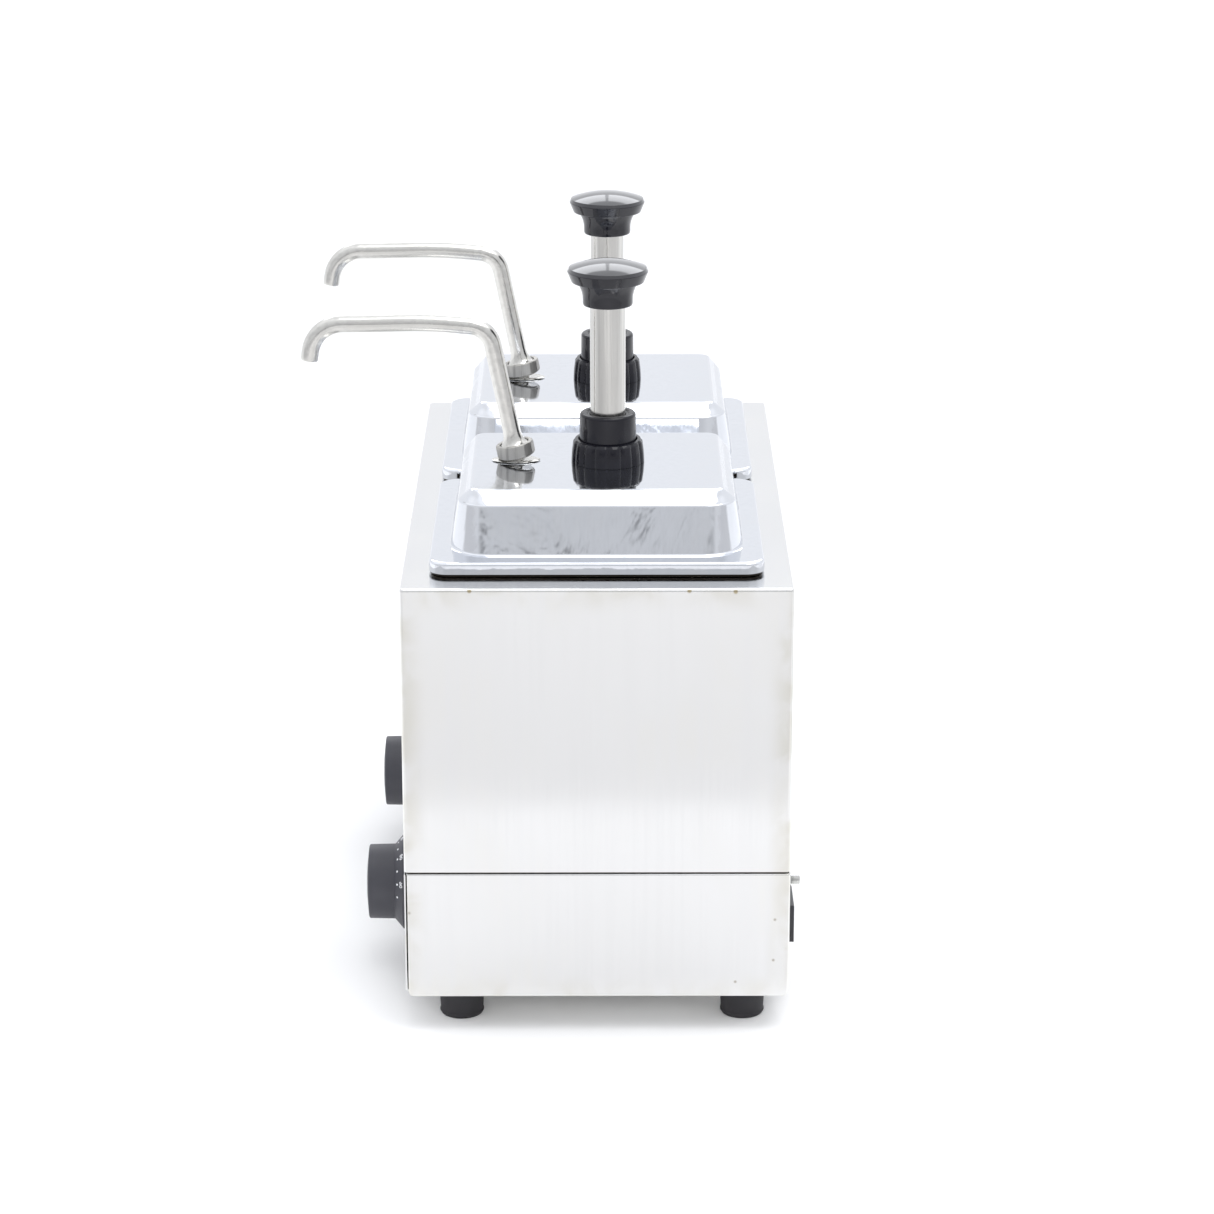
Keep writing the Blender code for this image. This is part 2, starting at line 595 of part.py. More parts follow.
def pump_cylinder(side):
    """The barrel: a threaded neck through the lid, a flange under it, and a bored floor."""
    lid_under = LID_TOP_Z - LID_SHEET
    flange_top = lid_under - 0.0023
    barrel = [
        (BORE_RADIUS, 0.0480), (NECK_RADIUS, 0.0480), (NECK_RADIUS, flange_top), (0.0200, flange_top),
        (0.0200, flange_top - 0.0025), (CYLINDER_RADIUS, flange_top - 0.0025),
        (CYLINDER_RADIUS, CYLINDER_END_Z), (0.0035, CYLINDER_END_Z),
        (0.0035, CYLINDER_FLOOR_Z), (BORE_RADIUS, CYLINDER_FLOOR_Z),
    ]
    made = object_from(f"pump_cylinder_{side}", turned(barrel, bored=True), "pump_plastic", pump_place(side))
    port = turned([(0.0030, 0.0100), (0.0030, 0.0200)], 8)
    x, y, z = pump_place(side)
    cut(made, port, "side_port", (x, y, z + PORT_Z), (pi / 2, 0, 0))
    gasket = [
        (NECK_RADIUS + GAP, flange_top + GAP), (0.0195, flange_top + GAP),
        (0.0195, lid_under - GAP), (NECK_RADIUS + GAP, lid_under - GAP),
    ]
    object_from(f"lid_gasket_{side}", turned(gasket, bored=True), "seal_rubber", pump_place(side))


def guide_cap(side):
    """The collar that guides the plunger, held down on the cylinder's neck by the locking nut."""
    bore, r, top = ROD_RADIUS + 0.0004, CAP_RADIUS, CAP_TOP_Z
    outline = [
        (bore, 0.0340), (0.0127, 0.0340), (0.0127, 0.0483), (0.0166, 0.0483), (0.0166, 0.0502),
        (r + 0.0001, 0.0502), (r, top - 0.0020), (r - 0.0006, top - 0.0006), (r - 0.0018, top),
        (0.0113, top), (bore, top - 0.0014),
    ]
    object_from(f"guide_cap_{side}", turned(outline, bored=True), "black_gloss", pump_place(side))


def locking_nut(side, ribs=16):
    """The ribbed nut on the cylinder's thread, widest where it is drawn down on the lid."""
    low, top = LID_TOP_Z + GAP, NUT_TOP_Z
    plain = [(NECK_RADIUS + GAP, low), (0.0186, low)]
    ribbed = [(NUT_RADIUS, low + 0.0004), (NUT_RADIUS - 0.0003, low + 0.0050), (0.0190, top - 0.0016)]
    rim = [(0.0180, top), (0.0158, top), (0.0158, 0.0506), (0.0170, 0.0506), (0.0170, 0.0481),
           (NECK_RADIUS + GAP, 0.0481)]

    def ring(radius, z, depth):
        points = circle(radius, z, 2 * ribs)
        return [p - depth * (1 - i % 2) * Vector((p.x, p.y, 0)) / radius for i, p in enumerate(points)]

    rings = [ring(r, z, 0) for r, z in plain] + [ring(r, z, 0.0009) for r, z in ribbed]
    rings += [ring(r, z, 0) for r, z in rim]
    object_from(f"locking_nut_{side}", skin(rings, looped=True), "black_gloss", pump_place(side))


def intake_valve(side):
    """The foot valve: a ball on a coned seat, under the cylinder's floor."""
    top = CYLINDER_END_Z - GAP
    body = [
        (0.0064, top), (0.0130, top), (0.0130, top - 0.0027), (0.0100, top - 0.0027),
        (0.0100, -0.1230), (0.0090, -0.1250), (0.0032, -0.1250), (0.0032, -0.1160), (0.0064, -0.1125),
    ]
    object_from(f"intake_valve_{side}", turned(body, bored=True), "pump_plastic", pump_place(side))
    radius = 0.0046
    rest = Vector(pump_place(side)) + Vector((0, 0, -0.1122))
    steps = [asin(1) * (i / 3 - 1) for i in range(1, 6)]
    outline = [(0, -radius)] + [(radius * cos(a), radius * sin(a)) for a in steps] + [(0, radius)]
    object_from(f"intake_ball_{side}", turned(outline, 10), "screw_steel", rest)


def discharge_tube(side):
    """The riser inside the pan, from the cylinder's side port up to the spout's seat."""
    side_on, y_axis, z_axis = Vector((1, 0, 0)), Vector((0, 1, 0)), Vector((0, 0, 1))
    bend, start = 0.0140, -CYLINDER_RADIUS - GAP
    path = [Vector((0, start, PORT_Z))]
    path += arc(Vector((0, SPOUT_Y + bend, PORT_Z + bend)), bend, -90, -180, 4, (y_axis, z_axis))
    path += [Vector((0, SPOUT_Y, LID_TOP_Z - 0.0085))]
    turns = [-y_axis] + [across(path, i) for i in range(1, len(path) - 1)] + [z_axis]
    outer = hoops(path, [TUBE_RADIUS] * len(path), side_on, 8, turns)
    inner = hoops(path, [TUBE_BORE] * len(path), side_on, 8, turns)
    shape = skin(outer + list(reversed(inner)), looped=True)
    object_from(f"discharge_tube_{side}", shape, "spout_steel", pump_place(side))


# ---------------------------------------------------------------- spouts
LEG_AXIS = Vector((0, -sin(SPOUT_TILT), cos(SPOUT_TILT)))
LEG_ROOT = Vector((0, SPOUT_Y, LID_TOP_Z))


def on_leg(distance):
    """A point on the spout leg's axis, from where it meets the lid's top."""
    return LEG_ROOT + distance * LEG_AXIS


def about_leg(radius, distance, sides=ROUND, flats=False):
    """A ring about the leg's axis: round, or a polygon with a corner at every second point."""
    side_on = Vector((1, 0, 0))
    up = LEG_AXIS.cross(side_on)
    points = []
    for k in range(sides):
        a = 2 * pi * k / sides
        r = radius * (cos(2 * pi / sides) if flats and k % 2 else 1)
        points.append(on_leg(distance) + r * (cos(a) * side_on + sin(a) * up))
    return points


def spout_seat(side):
    """The wedge-shaped union through the lid that the spout's foot stands on."""
    level = [Vector((0, SPOUT_Y, z)) for z in (LID_TOP_Z - 0.0082, LID_TOP_Z + GAP)]
    flat = hoops([level[0], level[1]], [0.0062, 0.0062], Vector((1, 0, 0)), ROUND, [Vector((0, 0, 1))] * 2)
    foot = hoops([level[1]], [0.0090], Vector((1, 0, 0)), ROUND, [Vector((0, 0, 1))])
    bore = hoops([level[0]], [0.0034], Vector((1, 0, 0)), ROUND, [Vector((0, 0, 1))])
    rings = flat + foot + [
        about_leg(0.0088, 0.0026), about_leg(0.0063, 0.0026), about_leg(0.0063, 0.0080),
        about_leg(0.0034, 0.0080), about_leg(0.0034, 0.0010),
    ] + bore
    object_from(f"spout_seat_{side}", skin(rings, looped=True), "spout_steel", pump_place(side))


def spout_nut(side, sides=24):
    """The twelve-sided union nut that holds the spout's foot on its seat."""
    low, top, r = 0.0030, 0.0104, SPOUT_NUT_RADIUS
    rings = [
        about_leg(0.0067, low, sides), about_leg(r - 0.0006, low, sides),
        about_leg(r, low + 0.0006, sides, True), about_leg(r, top - 0.0006, sides, True),
        about_leg(r - 0.0008, top, sides), about_leg(0.0078, top, sides), about_leg(0.0078, 0.0081, sides),
        about_leg(0.0067, 0.0081, sides),
    ]
    object_from(f"spout_nut_{side}", skin(rings, looped=True), "spout_steel", pump_place(side))


def spout_path():
    """The spout's centre line, in the upright plane through the pump's axis: the leaning leg, the
    shoulder bend, the slightly bowed run and the down-turned outlet."""
    y_axis, z_axis = Vector((0, 1, 0)), Vector((0, 0, 1))
    shoulder, outlet, run_z, slope = 0.0135, 0.0175, 0.1168, radians(6)
    short, tip = radians(9), 0.0051  # how far the outlet stops short of upright, and its straight end
    bend_y = -SPOUT_REACH - PUMP_Y + (outlet + TUBE_RADIUS) * cos(short) + tip * sin(short)
    corner = LEG_ROOT + LEG_AXIS * ((0.1145 - LID_TOP_Z) / LEG_AXIS.z)
    turn = (pi / 2 - SPOUT_TILT - slope) / 2
    back_off = shoulder * tan(turn)
    start = corner - LEG_AXIS * back_off
    centre = start + shoulder * Vector((0, -cos(SPOUT_TILT), -sin(SPOUT_TILT)))
    path = [on_leg(0.020), on_leg(0.045)]
    first = degrees(SPOUT_TILT)
    path += arc(centre, shoulder, first, 90 - degrees(slope), 5, (y_axis, z_axis))
    run_start = path[-1]
    reach = (run_start.y - bend_y) / 3
    for share, bow in ((1, 0.72), (2, 1.0)):
        y = run_start.y - reach * share
        path.append(Vector((0, y, run_start.z + (run_z - run_start.z) * bow)))
    middle = Vector((0, bend_y, run_z - outlet))
    path += arc(middle, outlet, 90, 180 - degrees(short), 6, (y_axis, z_axis))
    path.append(path[-1] + tip * Vector((0, -sin(short), -cos(short))))
    return path


def spout(side, sides=12):
    """The bent outlet tube, with a flanged and coned foot inside the union nut."""
    path = spout_path()
    foot = [about_leg(r, s, sides) for r, s in
            ((0.0074, 0.0083), (0.0074, 0.0096), (0.0064, 0.0096), (TUBE_RADIUS, 0.0140))]
    turns = [LEG_AXIS, LEG_AXIS] + [across(path, i) for i in range(2, len(path))]
    outer = hoops(path, [TUBE_RADIUS] * len(path), Vector((1, 0, 0)), sides, turns)
    inner = hoops(path, [TUBE_BORE] * len(path), Vector((1, 0, 0)), sides, turns)
    bore = [about_leg(TUBE_BORE, 0.0083, sides)]
    shape = skin(foot + outer + list(reversed(inner)) + bore, looped=True)
    object_from(f"spout_{side}", shape, "spout_steel", pump_place(side))


# ---------------------------------------------------------------- the whole object
def clear_scene():
    for old in list(bpy.data.objects):
        bpy.data.objects.remove(old, do_unlink=True)


def build():
    clear_scene()
    upper_housing()
    base_shell()
    front_panel()
    bottom_plate()
    foot_pieces()
    power_inlet()
    earth_terminal()
    terminal_block()
    for side in PAN_X:
        for piece in (water_well, heating_element, thermostat, heat_knob, food_pan, lid,
                      pump_knob, plunger, return_spring, pump_cylinder, guide_cap, locking_nut,
                      intake_valve, discharge_tube, spout_seat, spout_nut, spout):
            piece(side)


build()
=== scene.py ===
"""How the heated two-pump sauce dispenser looks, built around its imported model.

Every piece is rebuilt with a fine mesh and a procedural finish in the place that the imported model
gives it. Heights with names ending in _Z are above the deck, and -Y is the operator's side.
"""

import json
from math import cos, degrees, pi, radians, sin, tan

import bmesh
import bpy
from mathutils import Matrix, Vector


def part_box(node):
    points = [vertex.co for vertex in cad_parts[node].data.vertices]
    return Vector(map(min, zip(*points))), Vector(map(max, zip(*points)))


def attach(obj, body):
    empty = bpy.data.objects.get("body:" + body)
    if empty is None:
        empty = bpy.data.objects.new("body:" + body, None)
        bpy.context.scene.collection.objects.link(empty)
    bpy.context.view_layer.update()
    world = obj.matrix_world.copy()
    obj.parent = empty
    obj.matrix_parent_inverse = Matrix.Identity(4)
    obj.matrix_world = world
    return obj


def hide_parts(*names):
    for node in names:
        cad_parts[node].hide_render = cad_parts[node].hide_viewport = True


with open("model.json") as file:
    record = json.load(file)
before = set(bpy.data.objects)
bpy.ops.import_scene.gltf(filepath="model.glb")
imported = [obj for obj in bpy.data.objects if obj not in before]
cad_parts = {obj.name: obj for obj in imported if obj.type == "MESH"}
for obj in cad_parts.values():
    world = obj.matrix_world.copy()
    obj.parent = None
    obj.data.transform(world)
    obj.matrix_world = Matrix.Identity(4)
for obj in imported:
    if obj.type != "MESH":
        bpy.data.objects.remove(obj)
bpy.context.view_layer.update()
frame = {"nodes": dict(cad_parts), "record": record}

# ---------------------------------------------------------------- places and sizes from the frame
SIDES = ("left", "right")
BODIES = frame["record"]["behaviour"]["bodies"]
BODY_OF = {node: body for body, nodes in BODIES.items() for node in nodes}
SLOT_OF = {part["node"]: part["material_slot"] for part in frame["record"]["subparts"]}


def low(node):
    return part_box(node)[0]


def high(node):
    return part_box(node)[1]


def middle(node):
    return (low(node) + high(node)) / 2


def size(node):
    return high(node) - low(node)


def bottom_z(node):
    return low(node).z - DECK_Z


def top_z(node):
    return high(node).z - DECK_Z


DECK_Z = high("upper_housing").z
BODY = middle("upper_housing")
HALF_X, HALF_Y = size("upper_housing").x / 2, size("upper_housing").y / 2
FRONT_Y, REAR_Y = BODY.y - HALF_Y, BODY.y + HALF_Y
SEAM_Z = bottom_z("upper_housing")
FLOOR_Z = bottom_z("base_shell")
PAN_X = {side: middle(f"lid_{side}").x for side in SIDES}
PUMP_Y = middle("pump_knob_right").y - BODY.y
LID_HALF_X, LID_HALF_Y = size("lid_right").x / 2, size("lid_right").y / 2
LID_TOP_Z = top_z("lid_right")
SKIRT_Z = bottom_z("lid_right")

# ---------------------------------------------------------------- fixed sizes, in metres
GAP = 0.0003
SHEET = 0.001
EDGE_RADIUS = 0.0018
SEAM_GAP = 0.001
OPENING = Vector((0.072, 0.079))  # half the hole in the deck
FLANGE_Z = 0.0082
PAN_DEPTH, WELL_DEPTH = 0.146, 0.164
ROD_RADIUS, TUBE_RADIUS, TUBE_BORE = 0.0095, 0.00475, 0.0036
BORE_RADIUS, CYLINDER_RADIUS, NECK_RADIUS = 0.013, 0.016, 0.015
CYLINDER_FLOOR_Z, CYLINDER_END_Z, PORT_Z = -0.098, -0.101, -0.09
SPOUT_Y = -0.0484
SPOUT_TILT = radians(11.5)
SHAFT_HOLE, STUD_HOLE, FOOT_HOLE = 0.0055, 0.003, 0.0028  # radii
LID_CORNER, PAN_CORNER = 0.01, 0.015
HEX, ROUND, FINE = 6, 72, 96  # sides of a turned piece
X_AXIS, Y_AXIS, Z_AXIS = Vector((1, 0, 0)), Vector((0, 1, 0)), Vector((0, 0, 1))
FORWARD, REARWARD = (pi / 2, 0, 0), (-pi / 2, 0, 0)  # turns that point a piece's own Z to -Y or +Y


# ---------------------------------------------------------------- node recipes
class Tree:
    """A node tree, with short names for the nodes that the finishes and the room share.
    A socket takes either a constant or another node's output."""

    def __init__(self, tree, place):
        self.tree = tree
        self.place = self.node("ShaderNodeTexCoord").outputs[place]

    def node(self, kind, inputs=None, **settings):
        made = self.tree.nodes.new(kind)
        for name, value in settings.items():
            setattr(made, name, value)
        for name, value in (inputs or {}).items():
            self.fill(made.inputs[name], value)
        return made

    def fill(self, socket, value):
        if isinstance(value, bpy.types.NodeSocket):
            self.tree.links.new(value, socket)
        else:
            socket.default_value = value

    def ranged(self, value, low_in, high_in, low_out, high_out):
        """The value eased from the first two numbers to the last two."""
        return self.node("ShaderNodeMapRange", {
            "Value": value, "From Min": low_in, "From Max": high_in,
            "To Min": low_out, "To Max": high_out,
        }, interpolation_type="SMOOTHSTEP").outputs["Result"]

    def sum(self, first, second, operation="ADD"):
        return self.node("ShaderNodeMath", {0: first, 1: second}, operation=operation).outputs[0]

    def times(self, first, second):
        return self.sum(first, second, "MULTIPLY")

    def axis(self, name, absolute=False):
        """One coordinate of the place that is shaded."""
        value = self.node("ShaderNodeSeparateXYZ", {"Vector": self.place}).outputs[name]
        return self.sum(value, 0.0, "ABSOLUTE") if absolute else value


class Recipe(Tree):
    """A material and its shader. Its places are object coordinates, in metres."""

    def __init__(self, name):
        self.material = bpy.data.materials.new(name)
        self.material.use_nodes = True
        super().__init__(self.material.node_tree, "Object")
        self.shader = self.tree.nodes["Principled BSDF"]

    def drive(self, name, value):
        self.fill(self.shader.inputs[name], value)

    def noise(self, scale, detail=3.0, stretch=(1, 1, 1), distortion=0.0):
        mapping = self.node("ShaderNodeMapping", {"Scale": stretch, "Vector": self.place})
        return self.node("ShaderNodeTexNoise", {
            "Vector": mapping.outputs["Vector"], "Scale": scale, "Detail": detail,
            "Distortion": distortion,
        }).outputs["Fac"]

    def mixed(self, share, first, second):
        first, second = ((*c, 1) if isinstance(c, tuple) else c for c in (first, second))
        made = self.node("ShaderNodeMix", {"Factor": share}, data_type="RGBA")
        self.fill(made.inputs["A"], first)
        self.fill(made.inputs["B"], second)
        return made.outputs["Result"]

    def near(self, point, reach):
        """1 at a point, falling to 0 at the reach."""
        away = self.node("ShaderNodeVectorMath", {0: self.place, 1: point}, operation="DISTANCE")
        return self.ranged(away.outputs["Value"], 0.4 * reach, reach, 1.0, 0.0)

    def bump(self, height, distance, under=None):
        inputs = {"Strength": 1.0, "Distance": distance, "Height": height}
        if under:
            inputs["Normal"] = under
        return self.node("ShaderNodeBump", inputs).outputs["Normal"]


def steel(name, tint, dull, roughness, brush, grain=0.00001, wave=0.0002, scratch=0.06, streak=0.07):
    """Stainless steel: brush lines along one axis, soft stains, and a slow waviness of the sheet.
    brush is a stretch: the lines run along the axis whose number is small."""
    recipe = Recipe(name)
    recipe.drive("Metallic", 1.0)
    lines = recipe.noise(900, 2.0, brush)
    streaks = recipe.noise(300, 3.0, brush)
    stains = recipe.noise(14, 5.0, distortion=0.6)
    worn = recipe.ranged(stains, 0.42, 0.72, 0.0, 1.0)
    colour = recipe.mixed(worn, tint, dull)
    darker = tuple((1 - streak) * c for c in tint)
    recipe.colour = recipe.mixed(recipe.ranged(streaks, 0.45, 0.62, 0.0, 1.0), colour, darker)
    recipe.drive("Base Color", recipe.colour)
    uneven = recipe.sum(recipe.ranged(stains, 0.35, 0.75, *roughness),
                        recipe.ranged(lines, 0.3, 0.7, 0.0, scratch))
    recipe.drive("Roughness", uneven)
    slow = recipe.bump(recipe.noise(9, 1.0), wave)
    recipe.drive("Normal", recipe.bump(lines, grain, slow))
    return recipe


SPECKS = ((0.189, -0.066, -0.001), (0.189, 0.048, -0.001), (0.189, 0.072, -0.0015),
          (-0.189, -0.031, -0.001), (0.06, -0.1025, -0.001), (-0.1, 0.1025, -0.001))
# Points of small dents in the sheet. The colour is painted darker round each one, as painted shade of
# the dents.
DENT_SHADE_SPOTS = ((0.189, 0.0946, -0.1847), (0.189, 0.094, -0.208), (0.189, -0.1, -0.1807),
         (0.189, 0.0738, -0.2205), (-0.189, 0.041, -0.1985), (-0.15, 0.1025, -0.205))


def housing_sheet(name, shade_above_z):
    """The housing's sheet: warm heat stains along its edges, and weld specks under the deck's fold.
    Above the given height the sheet is painted near black: painted shade for the hidden lip in the
    seam's gap."""
    recipe = steel(name, (0.815, 0.815, 0.812), (0.806, 0.802, 0.785), (0.1, 0.16), ALONG_Z,
                   0.000004, 0.00016, 0.03, 0.012)
    cloud = recipe.noise(38, 4.0, distortion=0.8)
    edge = recipe.times(recipe.ranged(recipe.axis("Y", True), 0.088, 0.102, 0.0, 1.0),
                        recipe.ranged(recipe.axis("X", True), 0.176, 0.1885, 0.0, 1.0))
    wall = recipe.ranged(recipe.axis("Z"), -0.0012, -0.0004, 1.0, 0.0)
    fold = recipe.ranged(recipe.axis("Z"), -0.016, -0.001, 0.0, 0.7)
    foot = recipe.ranged(recipe.axis("Z"), -0.229, -0.214, 0.7, 0.0)
    rim = recipe.sum(recipe.sum(edge, fold, "MAXIMUM"), foot, "MAXIMUM")
    heat = recipe.times(recipe.times(rim, recipe.ranged(cloud, 0.38, 0.66, 0.15, 1.0)), wall)
    colour = recipe.mixed(heat, recipe.colour, (0.7, 0.685, 0.635))
    for point in SPECKS:
        colour = recipe.mixed(recipe.near(point, 0.0016), colour, (0.46, 0.4, 0.27))
    # Painted shade: a small darker spot round each dent point.
    for point in DENT_SHADE_SPOTS:
        colour = recipe.mixed(recipe.near(point, 0.0011), colour, (0.5, 0.47, 0.42))
    # Painted shade: above this height the colour is near black, standing in for the shadow on the lip
    # inside the seam's gap.
    lip = recipe.ranged(recipe.axis("Z"), shade_above_z, shade_above_z + 0.0002, 0.0, 1.0)
    recipe.drive("Base Color", recipe.mixed(lip, colour, (0.055, 0.04, 0.028)))
    return recipe.material


def pressed_sheet(name, rim_shade_x, rim_shade_y):
    """The lids' and pans' polished sheet. The drawn walls ripple along their height, and the flat top
    hardly does. Sheet further out than the two given half-widths is painted near black: painted
    shade for the pan rim's edge in the dark gap under the lid's skirt."""
    recipe = steel(name, (0.765, 0.785, 0.825), (0.755, 0.77, 0.8), (0.035, 0.075), ALONG_Z,
                   0.000004, 0.0001, 0.03, 0.02)
    wall = recipe.ranged(recipe.axis("Z"), 0.034, 0.0385, 1.0, 0.06)
    ripple = recipe.times(recipe.noise(26, 4.0, (1, 1, 0.7), 0.5), wall)
    fine = recipe.times(recipe.noise(420, 2.0, (1, 1, 0.06)), wall)
    slow = recipe.bump(ripple, 0.0007)
    recipe.drive("Normal", recipe.bump(fine, 0.000022, slow))
    # Painted shade: past the given half-widths the colour goes near black, for the pan rim's edge deep
    # in the gap under the lid's skirt.
    edges = (recipe.ranged(recipe.axis(name, True), start, start + 0.0003, 0.0, 1.0)
             for name, start in (("X", rim_shade_x), ("Y", rim_shade_y)))
    rim_shade = recipe.sum(*edges, "MAXIMUM")
    recipe.drive("Base Color", recipe.mixed(rim_shade, recipe.colour, (0.03, 0.025, 0.02)))
    return recipe.material


def plastic(name, tint, worn, roughness, grain_scale, grain, wave=0.0, density=1.5, coat=0.0):
    """Moulded plastic or rubber: faint mottling, fine grain and a little rubbed-off shine."""
    recipe = Recipe(name)
    for socket, value in (("IOR", density), ("Coat Weight", coat), ("Coat Roughness", 0.03)):
        recipe.drive(socket, value)
    mottle = recipe.noise(60, 4.0)
    rubbed = recipe.ranged(mottle, 0.4, 0.75, 0.0, 1.0)
    recipe.drive("Base Color", recipe.mixed(rubbed, tint, worn))
    recipe.drive("Roughness", recipe.ranged(mottle, 0.3, 0.8, *roughness))
    slow = recipe.bump(recipe.noise(35, 1.0), wave)
    recipe.drive("Normal", recipe.bump(recipe.noise(grain_scale, 2.0), grain, slow))
    return recipe.material


ALONG_X, ALONG_Y, ALONG_Z = (0.02, 1, 1), (1, 0.02, 1), (1, 1, 0.02)
FINISHES = {
    "housing_steel": housing_sheet("housing_sheet", 1.0),
    "polished_steel": pressed_sheet("pressed_lid", 1.0, 1.0),
    "spout_steel": steel("drawn_tube", (0.71, 0.7, 0.67), (0.65, 0.64, 0.61), (0.13, 0.2),
                         (1, 1, 1), 0.000006, 0.00003, 0.08, 0.1).material,
    "inner_steel": steel("mill_sheet", (0.62, 0.62, 0.61), (0.55, 0.55, 0.54), (0.25, 0.36),
                         ALONG_X, 0.00001, 0.0002, 0.08).material,
    "screw_steel": steel("bright_fastener", (0.66, 0.66, 0.64), (0.55, 0.55, 0.53), (0.18, 0.3),
                         ALONG_Z, 0.00001, 0.0, 0.06).material,
    "spring_steel": steel("spring_wire", (0.58, 0.58, 0.57), (0.48, 0.48, 0.47), (0.2, 0.32),
                          ALONG_X, 0.00001, 0.0, 0.06).material,
    "element_sheath": steel("element_oxide", (0.36, 0.33, 0.3), (0.24, 0.22, 0.22), (0.35, 0.5),
                            ALONG_Y, 0.00002, 0.0, 0.06).material,
    "black_gloss": plastic("black_moulding", (0.006, 0.006, 0.01), (0.013, 0.013, 0.018), (0.07, 0.15),
                           900, 0.000002, 0.00003, 1.4),
    "dial_plastic": plastic("dial_moulding", (0.05, 0.05, 0.061), (0.062, 0.062, 0.073), (0.42, 0.55),
                            1600, 0.00002),
    "inlet_plastic": plastic("inlet_moulding", (0.022, 0.022, 0.026), (0.034, 0.034, 0.038), (0.35, 0.5),
                             1500, 0.00002),
    "thermostat_body": plastic("switch_moulding", (0.7, 0.67, 0.58), (0.62, 0.59, 0.5), (0.4, 0.55),
                               1200, 0.00002),
    "terminal_white": plastic("terminal_moulding", (0.74, 0.71, 0.63), (0.66, 0.63, 0.55), (0.4, 0.55),
                              1200, 0.00002),
    "pump_plastic": plastic("pump_moulding", (0.7, 0.7, 0.68), (0.62, 0.62, 0.59), (0.28, 0.42),
                            1000, 0.00001),
    "rubber": plastic("foot_rubber", (0.019, 0.018, 0.021), (0.032, 0.03, 0.034), (0.6, 0.78),
                      1800, 0.00004),
    "seal_rubber": plastic("silicone_seal", (0.5, 0.48, 0.43), (0.42, 0.4, 0.36), (0.5, 0.65),
                           1200, 0.00002),
}
# The pan's sheet is painted near black past these half-widths: painted shade on its rim's edge under the
# lid's skirt.
PAN_SHEET = pressed_sheet("pressed_pan", LID_HALF_X - 0.005, LID_HALF_Y - 0.005)
# The base's sheet carries painted shade: near black above a height just under the seam, for the lip in
# the seam's gap.
SEAM_SHADE_SHEET = housing_sheet("base_sheet", SEAM_Z - 0.0012)
ROD_STEEL = steel("drawn_rod", (0.66, 0.65, 0.625), (0.6, 0.59, 0.565), (0.13, 0.2),
                  ALONG_Z, 0.000008, 0.00003, 0.08, 0.2).material
KNOB_GLOSS = plastic("knob_moulding", (0.014, 0.014, 0.018), (0.022, 0.022, 0.027), (0.06, 0.13),
                     900, 0.000002, 0.00003, 1.45, 1.0)
NUT_STEEL = steel("machined_nut", (0.52, 0.51, 0.485), (0.44, 0.43, 0.41), (0.42, 0.5),
                  ALONG_Z, 0.00002, 0.0, 0.1, 0.3).material
# The knob's underside band gets a darker copy of the knob plastic without its coat: painted shade.
SHADED_BAND_GLOSS = plastic("knob_underside_painted_shade", (0.008, 0.008, 0.012), (0.014, 0.014, 0.019), (0.06, 0.13),
                     900, 0.000002, 0.00003, 1.5)
MARK_PAINT = plastic("dial_marks", (0.94, 0.95, 0.97), (0.86, 0.87, 0.9), (0.35, 0.5), 900, 0.000005)


# ---------------------------------------------------------------- mesh helpers
def skin(rings, looped=False):
    """A bmesh over rings of points. Looped joins the last ring to the first, and else both ends are
    closed. A ring of one point is the tip of a cone."""
    shape = bmesh.new()
    made = [[shape.verts.new(point) for point in ring] for ring in rings]
    pairs = list(zip(made, made[1:]))
    if looped:
        pairs.append((made[-1], made[0]))
    for first, second in pairs:
        count = max(len(first), len(second))
        for i in range(count):
            j = (i + 1) % count
            if len(first) == 1:
                shape.faces.new((first[0], second[j], second[i]))
            elif len(second) == 1:
                shape.faces.new((first[i], first[j], second[0]))
            else:
                shape.faces.new((first[i], first[j], second[j], second[i]))
    if not looped:
        for ring in (made[0], made[-1]):
            if len(ring) > 2:
                shape.faces.new(ring)
    return shape


def filleted(outline, looped, steps=5):
    """The outline with each corner that carries a radius turned into an arc. A point is
    (across, along) or (across, along, radius)."""
    points = []
    last = len(outline) - 1
    for i, (across, along, *radius) in enumerate(outline):
        here = Vector((across, along))
        if not radius or (not looped and i in (0, last)):
            points.append(here)
            continue
        back = (Vector(outline[i - 1][:2]) - here).normalized()
        ahead = (Vector(outline[(i + 1) % len(outline)][:2]) - here).normalized()
        half = back.angle(ahead) / 2
        reach = radius[0] / tan(half)
        centre = here + (back + ahead).normalized() * radius[0] / sin(half)
        first, second = here + reach * back - centre, here + reach * ahead - centre
        sweep = first.angle(second)
        for step in range(steps + 1):
            share = step / steps
            weights = sin((1 - share) * sweep) / sin(sweep), sin(share * sweep) / sin(sweep)
            points.append(centre + weights[0] * first + weights[1] * second)
    return [(point.x, point.y) for point in points]


def circle(radius, z, sides=ROUND):
    if radius < 1e-7:
        return [Vector((0, 0, z))]
    return [Vector((radius * cos(a), radius * sin(a), z)) for a in angles(sides)]


def turned(outline, sides=ROUND, bored=False, steps=5):
    """A piece turned about Z from its outline."""
    return skin([circle(radius, z, sides) for radius, z in filleted(outline, bored, steps)], bored)


def pressed_ring(half_x, half_y, radius, z, corner=12):
    """A rounded rectangle about the origin, counter-clockwise."""
    points = []
    for quarter, (sx, sy) in enumerate(((1, 1), (-1, 1), (-1, -1), (1, -1))):
        centre = Vector((sx * (half_x - radius), sy * (half_y - radius), z))
        for step in range(corner + 1):
            a = (quarter + step / corner) * pi / 2
            points.append(centre + Vector((radius * cos(a), radius * sin(a), 0)))
    return points


